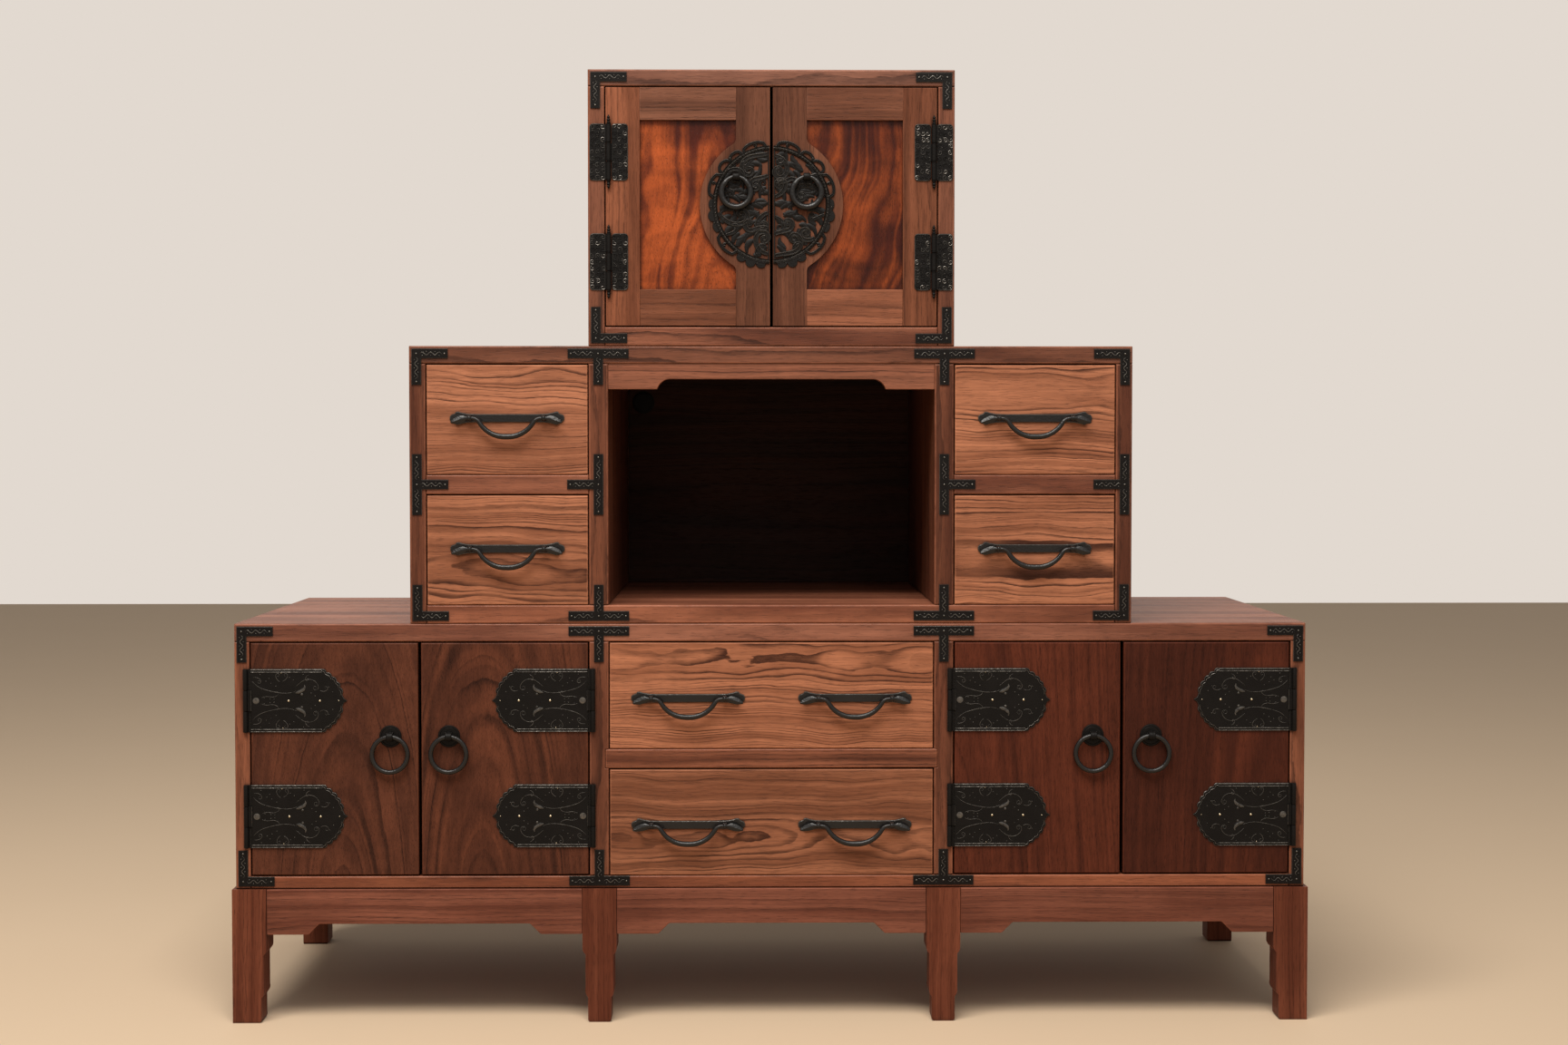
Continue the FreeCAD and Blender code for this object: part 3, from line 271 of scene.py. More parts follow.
@functools.cache
def wood_figure() -> bpy.types.NodeTree:
    """The group that grows annual rings, fibres and pores through a board.

    It reads two values that each board's mesh carries: "log", the place in the log with the
    grain along X, and "board", the board's seed, tone and warmth.

    Returns:
        The node group, with outputs Colour, Roughness and Height.
    """
    brown = srgb(130, 84, 62)
    inputs = [
        ("Pale", brown), ("Deep", brown), ("Line", brown), ("Ring Width", 3.2 * MM),
        ("Wander", 14 * MM), ("Wave Rate", 3.0), ("Line Strength", 0.7), ("Fibre", 1.0),
        ("Band Width", 60 * MM), ("Band Stretch", 0.14), ("Curl", 0.2), ("Gloss", 0.5),
    ]
    graph, given, result = node_group(
        "wood_figure", inputs, [("Colour", "Color"), ("Roughness", "Float"), ("Height", "Float")],
    )
    place = graph.attribute("log")
    seed, tone, warmth = graph.fed("ShaderNodeSeparateXYZ", [(0, graph.attribute("board"))]).outputs
    shift = graph.vector("SCALE", (7.3, 3.1, 5.7), seed)

    def seeded(along: float, across: float) -> Socket:
        """A place for noise that differs from board to board."""
        return graph.vector("ADD", graph.stretched(place, along, across), shift)

    wave = graph.vector("SCALE", graph.stretched(place, 1.0, 1.8), given["Wave Rate"])
    wander = graph.noise(graph.vector("ADD", wave, shift), 2, out="Color")
    bent = place
    for swing, size in (
        (wander, given["Wander"]), (graph.noise(seeded(17, 70), 2, out="Color"), 2.2 * MM),
        (graph.noise(seeded(80, 260), 2, out="Color"), 0.9 * MM),
    ):
        swing = graph.vector("SUBTRACT", swing, (0.5, 0.5, 0.5))
        bent = graph.vector("ADD", bent, graph.vector("SCALE", swing, size))
    radius = graph.vector("LENGTH", graph.vector("MULTIPLY", bent, (0, 1, 1)))
    uneven = graph.noise_along(graph.math("MULTIPLY_ADD", radius, 55, seed), 2)
    turns = graph.math("DIVIDE", radius, given["Ring Width"])
    turns = graph.math("MULTIPLY_ADD", uneven, 3.5, turns)
    year = graph.math("FLOOR", turns)
    season = graph.math("FRACT", turns)
    year = [("W", graph.math("ADD", year, seed))]
    luck = graph.fed("ShaderNodeTexWhiteNoise", year, noise_dimensions="1D").outputs["Value"]
    rise, fall = graph.step(season, 0.42, 0.9), graph.step(season, 0.93, 1.0, 1.0, 0.0)
    late = graph.times(graph.times(rise, fall), graph.step(luck, 0.0, 0.9, 0.15, 1.0))
    patchy = graph.step(graph.noise(seeded(7, 30), 3), 0.36, 0.6, 0.35, 1.0)
    late = graph.times(late, patchy, clamp=True)
    line = graph.times(late, given["Line Strength"])

    reach = graph.math("DIVIDE", 1.0, given["Band Width"])
    x, y, z = graph.fed("ShaderNodeSeparateXYZ", [(0, bent)]).outputs
    along = graph.times(x, given["Band Stretch"])
    banding = graph.fed("ShaderNodeCombineXYZ", enumerate((along, y, z))).outputs[0]
    banding = graph.vector("ADD", graph.vector("SCALE", banding, reach), shift)
    band = graph.noise(banding, 3, 0.55)
    rings = graph.noise_along(graph.math("MULTIPLY_ADD", radius, 130, seed), 1)
    band = graph.math("MULTIPLY_ADD", rings, 0.35, graph.times(band, 0.65))
    band = graph.step(band, 0.38, 0.62)

    fine = graph.noise(seeded(14, 480), 4, 0.75)
    streak = graph.noise(seeded(4, 160), 3, 0.6)
    fibre = graph.math("MULTIPLY_ADD", fine, 0.6, graph.times(streak, 0.4))
    fibre = graph.times(graph.math("SUBTRACT", fibre, 0.5), given["Fibre"])
    ripple = graph.noise(graph.vector("ADD", graph.stretched(bent, 46, 9), shift), 2, 0.6)
    ripple = graph.times(graph.math("SUBTRACT", ripple, 0.5), given["Curl"])
    pore = graph.step(graph.noise(seeded(80, 1250), 1), 0.57, 0.68)
    pore = graph.times(pore, graph.math("MULTIPLY_ADD", late, 0.5, 0.5))

    colour = graph.mix(band, given["Deep"], given["Pale"])
    colour = graph.mix(line, colour, given["Line"])
    colour = graph.mix(graph.times(pore, 0.55), colour, given["Line"])
    shade = graph.math("ADD", graph.math("ADD", fibre, ripple), 1.0)
    shade = graph.times(shade, graph.math("POWER", 2.0, tone))
    warm = [graph.math("MULTIPLY_ADD", warmth, rate, 1.0) for rate in (0.12, -0.02, -0.16)]
    warm = enumerate([graph.times(rate, shade) for rate in warm])
    warm = graph.fed("ShaderNodeCombineXYZ", warm).outputs[0]
    colour = graph.vector("MULTIPLY", colour, warm)

    rough = graph.math("MULTIPLY_ADD", pore, 0.2, given["Gloss"])
    rough = graph.math("MULTIPLY_ADD", fibre, 0.3, rough, clamp=True)
    fibre, pore, late = [graph.times(*pair) for pair in ((fibre, 0.8), (pore, 1.2), (late, 0.35))]
    height = graph.math("SUBTRACT", graph.math("SUBTRACT", fibre, pore), late)
    graph.fill(result, Colour=colour, Roughness=rough, Height=height)
    return graph.tree


@functools.cache
def edge_wear_and_highlight() -> bpy.types.NodeTree:
    """The group that says where an arris or a crest is rubbed light, from a value that the mesh
    carries: wear, and also a painted highlight.

    Returns:
        The node group, with output Mask.
    """
    graph, given, result = node_group(
        "edge_wear_and_highlight", [("Amount", 0.6), ("Patch Size", 12 * MM)], [("Mask", "Float")],
    )
    patch = graph.noise(graph.place_in(given["Patch Size"]), 4, 0.65)
    patch = graph.step(patch, 0.3, 0.62, 0.25, 1.0)
    wear_and_highlight_mask = graph.times(graph.attribute("wear_and_highlight_mask", "Fac"), patch)
    graph.fill(result, Mask=graph.times(wear_and_highlight_mask, given["Amount"], clamp=True))
    return graph.tree


@functools.cache
def crevice_shade() -> bpy.types.NodeTree:
    """The group for painted shade: how much corners and narrow gaps are darkened, where shade
    falls.

    Returns:
        The node group, with output Mask.
    """
    graph, given, result = node_group(
        "crevice_shade", [("Reach", 8 * MM), ("Amount", 0.7)], [("Mask", "Float")],
    )
    corner = graph.fed("ShaderNodeAmbientOcclusion", [("Distance", given["Reach"])], samples=5)
    hidden = graph.step(corner.outputs["AO"], 0.15, 0.95, 1.0, 0.0)
    graph.fill(result, Mask=graph.times(hidden, given["Amount"], clamp=True))
    return graph.tree


@functools.cache
def hammered() -> bpy.types.NodeTree:
    """The group for the skin of forged iron: hammer marks, scale and uneven sheen.

    Returns:
        The node group, with outputs Height, Bloom and Roughness.
    """
    inputs = [("Mark Size", 5 * MM), ("Roughness", 0.45)]
    outputs = [("Height", "Float"), ("Bloom", "Float"), ("Roughness", "Float")]
    graph, given, result = node_group("hammered", inputs, outputs)
    place = graph.place_in(given["Mark Size"])
    marks = [("Vector", place), ("Smoothness", 0.8)]
    marks = graph.fed("ShaderNodeTexVoronoi", marks, feature="SMOOTH_F1").outputs["Distance"]
    scale = graph.noise(graph.vector("SCALE", place, 6.0), 4, 0.7)
    height = graph.math("MULTIPLY_ADD", scale, 0.35, marks)
    bloom = graph.noise(graph.vector("SCALE", place, 0.35), 3, 0.6)
    patches = graph.step(bloom, 0.4, 0.68)
    rough = graph.math("SUBTRACT", given["Roughness"], 0.12)
    rough = graph.math("MULTIPLY_ADD", scale, 0.24, rough)
    rough = graph.math("MULTIPLY_ADD", bloom, 0.1, rough, clamp=True)
    graph.fill(result, Height=height, Bloom=patches, Roughness=rough)
    return graph.tree


class Finish:
    """What every finish shares: a cached material with one Principled shader."""

    def start(self, name: str) -> tuple[Graph, bpy.types.Node, bpy.types.Material]:
        """Opens a new material.

        Args:
            name: The material's name.

        Returns:
            The graph, the Principled shader and the material.
        """
        material = bpy.data.materials.new(name)
        material.use_nodes = True
        material.node_tree.nodes.clear()
        graph = Graph(material.node_tree)
        shader = graph.node("ShaderNodeBsdfPrincipled")
        graph.fill(graph.node("ShaderNodeOutputMaterial"), Surface=shader.outputs[0])
        return graph, shader, material

    def placed(self, graph: Graph, group: bpy.types.NodeTree, **values: Value) -> bpy.types.Node:
        """Places a node group in a material with its own values.

        Args:
            graph: The material's graph.
            group: The node group.
            values: A value for each input; underscores stand for spaces.

        Returns:
            The group's node.
        """
        made = graph.node("ShaderNodeGroup", node_tree=group)
        graph.fill(made, **values)
        return made

    def mask(self, graph: Graph, group: bpy.types.NodeTree, **values: Value) -> Socket:
        """Places a node group and gives its mask."""
        return self.placed(graph, group, **values).outputs["Mask"]

    def bumped(self, graph: Graph, shader: bpy.types.Node, height: Value, depth: float) -> None:
        """Raises the surface by a height map whose full scale is depth."""
        values = (("Strength", 1.0), ("Distance", depth), ("Height", height))
        graph.fill(shader, Normal=graph.fed("ShaderNodeBump", values).outputs[0])


@dataclass(frozen=True)
class WoodFinish(Finish):
    """One kind of board: its colours, how its rings run and how it is oiled."""

    slot: str
    pale: Colour
    deep: Colour
    line: Colour
    ring_width: float = 3.0 * MM
    wander: float = 14 * MM
    wave_rate: float = 3.0
    line_strength: float = 0.7
    fibre: float = 1.1
    band_width: float = 45 * MM
    band_stretch: float = 0.14
    curl: float = 0.25
    gloss: float = 0.5
    shine: float = 0.1
    oil: float = 0.0
    oil_roughness: float = 0.2
    variety: str = ""
    # How much arrises are lightened: wear, and also a painted highlight.
    wear_and_highlight_amount: float = 0.4
    wear_and_highlight_patch: float = 18 * MM
    # Painted shade: how much, how far and how dark corners and gaps are darkened.
    painted_shade: float = 0.85
    painted_shade_reach: float = 4.5 * MM
    painted_shade_tone: float = 0.16
    relief: float = 0.16 * MM

    @functools.cache
    def material(self) -> bpy.types.Material:
        """The wood's material, made once.

        Returns:
            The material.
        """
        graph, shader, material = self.start(self.slot + self.variety + "_grain")
        figure = self.placed(
            graph, wood_figure(), Pale=self.pale, Deep=self.deep, Line=self.line,
            Ring_Width=self.ring_width, Wander=self.wander, Wave_Rate=self.wave_rate,
            Line_Strength=self.line_strength, Fibre=self.fibre, Band_Width=self.band_width,
            Band_Stretch=self.band_stretch, Curl=self.curl, Gloss=self.gloss,
        )
        wear_and_highlight_mask = self.mask(graph, edge_wear_and_highlight(), Amount=self.wear_and_highlight_amount, Patch_Size=self.wear_and_highlight_patch)
        shade = self.mask(graph, crevice_shade(), Reach=self.painted_shade_reach, Amount=self.painted_shade)
        # Rubbed arrises are lightened: wear, and also a painted highlight along the eased edges.
        rubbed_and_highlight_colour = graph.mix(0.65, figure.outputs["Colour"], self.pale)
        colour = graph.mix(wear_and_highlight_mask, figure.outputs["Colour"], graph.vector("SCALE", rubbed_and_highlight_colour, 1.45))
        # Painted shade: darker in corners and narrow gaps, where shade falls.
        colour = graph.mix(shade, colour, graph.vector("SCALE", colour, self.painted_shade_tone))
        polish_and_highlight = graph.math("MULTIPLY_ADD", wear_and_highlight_mask, -0.14, figure.outputs["Roughness"])
        graph.fill(
            shader, Base_Color=colour, Roughness=polish_and_highlight, Specular_IOR_Level=self.shine,
            Coat_Weight=self.oil, Coat_Roughness=self.oil_roughness,
        )
        self.bumped(graph, shader, figure.outputs["Height"], self.relief)
        return material


@dataclass(frozen=True)
class MetalFinish(Finish):
    """A metal: its skin colour, the colour where it is rubbed (wear, and also painted glints on
    crests and edges), and its hammer marks.
    """

    name: str
    skin: Colour
    rubbed_and_highlight_colour: Colour
    roughness: float = 0.44
    mark_size: float = 5 * MM
    mark_depth: float = 0.12 * MM
    metal: float = 0.0
    shine: float = 0.12
    # How much crests and edges turn light bare metal: wear, and also painted glints.
    wear_and_highlight_amount: float = 0.85
    wear_and_highlight_patch: float = 4 * MM
    # Painted shade: how much, how far and how dark corners and gaps are darkened.
    painted_shade: float = 0.6
    painted_shade_reach: float = 3 * MM
    painted_shade_tone: float = 0.3

    @functools.cache
    def material(self) -> bpy.types.Material:
        """The metal's material, made once.

        Returns:
            The material.
        """
        graph, shader, material = self.start(self.name)
        skin = self.placed(graph, hammered(), Mark_Size=self.mark_size, Roughness=self.roughness)
        wear_and_highlight_mask = self.mask(graph, edge_wear_and_highlight(), Amount=self.wear_and_highlight_amount, Patch_Size=self.wear_and_highlight_patch)
        shade = self.mask(graph, crevice_shade(), Reach=self.painted_shade_reach, Amount=self.painted_shade)
        cloudy = graph.times(skin.outputs["Bloom"], 0.3)
        colour = graph.mix(cloudy, self.skin, graph.vector("SCALE", self.skin[:3], 2.0))
        # Rubbed crests and edges turn to light bare metal: wear, and also painted glints.
        colour = graph.mix(wear_and_highlight_mask, colour, self.rubbed_and_highlight_colour)
        # Painted shade: darker in corners and narrow gaps, where shade falls.
        colour = graph.mix(shade, colour, graph.vector("SCALE", colour, self.painted_shade_tone))
        bare = graph.math("MAXIMUM", wear_and_highlight_mask, self.metal)
        polish_and_highlight = graph.math("MULTIPLY_ADD", wear_and_highlight_mask, -0.12, skin.outputs["Roughness"])
        graph.fill(shader, Base_Color=colour, Metallic=bare, Roughness=polish_and_highlight)
        graph.fill(shader, Specular_IOR_Level=self.shine)
        self.bumped(graph, shader, skin.outputs["Height"], self.mark_depth)
        return material


class Wood(Enum):
    """The kinds of board in the cabinet."""

    CASE = WoodFinish(
        "case_wood", pale=srgb(138, 87, 66), deep=srgb(94, 54, 40), line=srgb(46, 26, 20),
        ring_width=2.8 * MM, line_strength=0.75, oil=0.12, fibre=1.4, wear_and_highlight_amount=0.55,
    )
    STAND = WoodFinish(
        "stand_wood", pale=srgb(128, 76, 58), deep=srgb(98, 54, 40), line=srgb(50, 26, 20),
        ring_width=2.8 * MM, line_strength=0.4, fibre=1.5, wear_and_highlight_amount=0.5,
    )
    # Nearly black: painted shade that stands in for the dark inside the niche.
    BACK = WoodFinish(
        "back_wood", pale=srgb(62, 36, 27), deep=srgb(42, 25, 19), line=srgb(22, 14, 11),
        line_strength=0.5, wear_and_highlight_amount=0.2,
    )
    DOOR = WoodFinish(
        "door_wood", pale=srgb(94, 53, 37), deep=srgb(74, 41, 29), line=srgb(30, 16, 12),
        ring_width=6.4 * MM, wander=26 * MM, wave_rate=2.8, line_strength=0.7, band_width=38 * MM,
        fibre=1.5, curl=0.35,
    )
    RED_DOOR = WoodFinish(
        "door_wood", pale=srgb(92, 45, 30), deep=srgb(72, 34, 23), line=srgb(36, 16, 11),
        ring_width=5.0 * MM, line_strength=0.35, band_width=80 * MM, fibre=1.6, curl=0.3,
        variety="_red",
    )
    FRAME = WoodFinish(
        "frame_wood", pale=srgb(134, 84, 62), deep=srgb(100, 60, 43), line=srgb(50, 29, 22),
        ring_width=2.6 * MM, line_strength=0.5, fibre=1.4,
    )
    PANEL = WoodFinish(
        "panel_wood", pale=srgb(168, 80, 38), deep=srgb(76, 27, 14), line=srgb(40, 14, 9),
        ring_width=10.0 * MM, wander=60 * MM, wave_rate=6.0, line_strength=0.22, band_width=64 * MM,
        band_stretch=0.75, fibre=1.3, curl=1.5, gloss=0.34, shine=0.14, oil=0.1, wear_and_highlight_amount=0.2,
    )
    DRAWER = WoodFinish(
        "drawer_wood", pale=srgb(166, 109, 81), deep=srgb(132, 83, 60), line=srgb(56, 31, 23),
        ring_width=3.1 * MM, wander=24 * MM, wave_rate=7.5, line_strength=0.95, fibre=1.4,
    )


class Metal(Enum):
    """The metals in the cabinet."""

    IRON = MetalFinish("black_iron", skin=srgb(14, 12, 11), rubbed_and_highlight_colour=srgb(106, 103, 99))
    CAST = MetalFinish(
        "black_casting", skin=srgb(14, 12, 11), rubbed_and_highlight_colour=srgb(58, 55, 52), roughness=0.38, shine=0.16,
    )
    BAR = MetalFinish(
        "black_bar", skin=srgb(14, 13, 13), rubbed_and_highlight_colour=srgb(104, 100, 96), roughness=0.28,
        mark_size=9 * MM, mark_depth=0.16 * MM, wear_and_highlight_amount=0.6, shine=0.36,
    )
    NAIL = MetalFinish(
        "bright_nail", skin=srgb(150, 140, 122), rubbed_and_highlight_colour=srgb(214, 200, 172), roughness=0.3,
        mark_size=1.5 * MM, mark_depth=0.04 * MM, metal=1.0, wear_and_highlight_amount=0.7,
    )


class Grain(Enum):
    """The way a board's grain runs; the value is the axis."""

    ACROSS = 0
    UPRIGHT = 2


@dataclass(frozen=True)
class Look:
    """How one board was sawn and how dark it came out.

    tone is in stops, warmth from -1 (grey) to 1 (red); pith is where the heart of the log
    lies in millimetres, beside the board's middle and behind its face; tilt is how much
    nearer the heart comes along the grain, which draws the rings out into arches.
    """

    tone: float = 0.0
    warmth: float = 0.0
    pith: Place = (20, 45)
    tilt: float = 0.0


Solid = list[list[tuple[int, int, int]]]
COLUMN = 10_000
SEED_SPAN = 40


@dataclass
class Boards:
    """The wooden solids of one CAD node, taken over with rounded arrises and real grain.

    The fields after looks say how far boards without a look of their own differ: in tone, in
    warmth, and in how far to the side and behind the face the heart of the log lies.
    """

    node: str
    body: str
    wood: Wood
    grain: Grain | None = None
    ease: float = 0.5 * MM
    looks: tuple[Look, ...] = ()
    spread: float = 0.16
    warmth_spread: float = 0.4
    pith_side: float = 60.0
    pith_depths: Place = (25.0, 70.0)
    echo: float = 0.4
    flat_angle: float = math.radians(1)
    arris_angle: float = math.radians(24)
    strip: float = 2.2 * MM

    def solids(self) -> list[Solid]:
        """Sorts the node's faces into its solids, whose faces share edges but no corners.

        Returns:
            The solids from left to right, then bottom to top; a face is its corners in microns.
        """
        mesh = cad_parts[self.node].data
        corners = [tuple(round(c / MICRON) for c in v.co) for v in mesh.vertices]
        faces = [[corners[at] for at in face.vertices] for face in mesh.polygons]
        owner = list(range(len(faces)))

        def root(at: int) -> int:
            """The first face of the group that a face is in.

            Args:
                at: The face's number.

            Returns:
                The number of the group's first face.
            """
            while owner[at] != at:
                at = owner[at]
            return at

        sides: dict[frozenset, list[int]] = {}
        for at, face in enumerate(faces):
            for pair in zip(face, face[1:] + face[:1]):
                sides.setdefault(frozenset(pair), []).append(at)
        for pair in sides.values():
            if len(pair) == 2:
                owner[root(pair[0])] = root(pair[1])
        groups: dict[int, Solid] = {}
        for at, face in enumerate(faces):
            groups.setdefault(root(at), []).append(face)
        return sorted(groups.values(), key=self.order)

    @staticmethod
    def order(solid: Solid) -> tuple[int, int]:
        """Where a solid stands from left to right, in steps of 10 mm, and its height."""
        xs, _, zs = zip(*(corner for face in solid for corner in face))
        return round((min(xs) + max(xs)) / (2 * COLUMN)), min(zs) + max(zs)

    def shaped(self, solid: Solid) -> bmesh.types.BMesh:
        """One solid as a clean mesh with small rounded arrises, its narrow faces and arrises marked
        to be lightened: wear, and also a painted highlight.

        Args:
            solid: The solid's faces.

        Returns:
            The mesh, which the caller frees.
        """
        made = bmesh.new()
        wear_and_highlight_mask = made.faces.layers.float.new("wear_and_highlight_mask")
        points = {at: made.verts.new(Vector(at) * MM * MM) for face in solid for at in face}
        for face in solid:
            made.faces.new([points[at] for at in face])
        bmesh.ops.dissolve_limit(
            made, angle_limit=self.flat_angle, verts=made.verts, edges=made.edges,
        )
        # Narrow slanted faces and rounded arrises are marked to be lightened: wear, and also a
        # painted highlight.
        for face in made.faces:
            narrow = min(edge.calc_length() for edge in face.edges) < self.strip
            slanted = max(abs(c) for c in face.normal) < 0.95
            face[wear_and_highlight_mask] = 1.0 if narrow and slanted else 0.0
        whole = [edge for edge in made.edges if len(edge.link_faces) == 2]
        sharp = [edge for edge in whole if edge.calc_face_angle() > self.arris_angle]
        rounded = bmesh.ops.bevel(
            made, geom=sharp, offset=self.ease, segments=2, profile=0.5, affect="EDGES",
            clamp_overlap=True,
        )
        for face in rounded["faces"]:
            face[wear_and_highlight_mask] = 1.0
        return made

    def sawn(self, made: bmesh.types.BMesh, look: Look) -> tuple[Grain | None, Look]:
        """The grain and the look of one board; no grain means along its longest side."""
        return self.grain, look

    def dressed(self, made: bmesh.types.BMesh, look: Look, seed: float) -> None:
        """Gives each corner of a board its place in the log and the board's own look.

        Args:
            made: The board's mesh.
            look: The look drawn for it.
            seed: What sets its noise apart.
        """
        grain, look = self.sawn(made, look)
        log_place = made.verts.layers.float_vector.new("log")
        board = made.verts.layers.float_vector.new("board")
        low = Vector([min(v.co[axis] for v in made.verts) for axis in range(3)])
        high = Vector([max(v.co[axis] for v in made.verts) for axis in range(3)])
        size, middle = high - low, (low + high) / 2
        along = grain.value if grain else max(range(3), key=lambda axis: size[axis])
        others = (axis for axis in range(3) if axis != along)
        thin, wide = sorted(others, key=lambda axis: size[axis])
        for vert in made.verts:
            forward = vert.co[along] - middle[along]
            vert[log_place] = (
                forward,
                vert.co[wide] - middle[wide] - look.pith[0] * MM,
                vert.co[thin] - low[thin] + look.pith[1] * MM + forward * look.tilt,
            )
            vert[board] = (seed, look.tone, look.warmth)

    def build(self) -> bpy.types.Object:
        """Makes the boards, lets them ride and hides the plain node.

        Returns:
            The object that stands for the node.
        """
        whole = bpy.data.meshes.new(self.node + "_boards")
        gathered = bmesh.new()
        for at, solid in enumerate(self.solids()):
            chance = random.Random("%s %d" % (self.node, at))
            side = chance.uniform(-self.pith_side, self.pith_side)
            pith = (side, chance.uniform(*self.pith_depths))
            tone = chance.uniform(-self.spread, self.spread)
            look = Look(tone, chance.uniform(-self.warmth_spread, self.warmth_spread), pith)
            if self.looks:
                chosen = self.looks[at % len(self.looks)]
                look = replace(chosen, tone=chosen.tone + tone * self.echo)
            made = self.shaped(solid)
            self.dressed(made, look, chance.uniform(0, SEED_SPAN))
            part = bpy.data.meshes.new("part")
            made.to_mesh(part)
            gathered.from_mesh(part)
            bpy.data.meshes.remove(part)
            made.free()
        for face in gathered.faces:
            face.smooth = True
        gathered.to_mesh(whole)
        gathered.free()
        whole.materials.append(self.wood.value.material())
        piece = linked(self.node + "_boards", whole)
        piece.modifiers.new("even_normals", "WEIGHTED_NORMAL").weight = 90
        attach(piece, self.body)
        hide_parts(self.node)
        return piece


FORGE_SEED = 1
ROUND_CREST = ((-1.0, 0.0), (-0.62, 0.78), (0.0, 1.0), (0.62, 0.78), (1.0, 0.0))
CHANNEL_CREST = (
    (-1.0, 0.0), (-0.86, 0.92), (-0.62, 1.0), (-0.3, 0.55),
    (0.3, 0.55), (0.62, 1.0), (0.86, 0.92), (1.0, 0.0),
)
DOME = ((-0.2, 1.0), (0.35, 0.96), (0.75, 0.72), (1.0, 0.3))
SINK = 0.05
PIN_RADIUS = 1.2
PIN_SPARE = 1.0
CREASE = math.radians(38)


@dataclass(frozen=True)
class Vine:
    """A drawn line in millimetres whose bend changes steadily along each run.

    A run is its length, its first and its last bend, in degrees to the left for each millimetre.
    """

    start: Place
    heading: float
    runs: tuple[tuple[float, float, float], ...]

    def points(self, step: float = 0.8) -> list[Place]:
        """The places along the line.

        Args:
            step: How far apart they lie, at most.

        Returns:
            The places, the start included.
        """
        u, v = self.start
        heading = math.radians(self.heading)
        places = [(u, v)]
        for length, first, last in self.runs:
            count = max(2, round(length / step))
            for at in range(count):
                bend = first + (last - first) * (at + 0.5) / count
                heading += math.radians(bend) * length / count
                u += math.cos(heading) * length / count
                v += math.sin(heading) * length / count
                places.append((u, v))
        return places


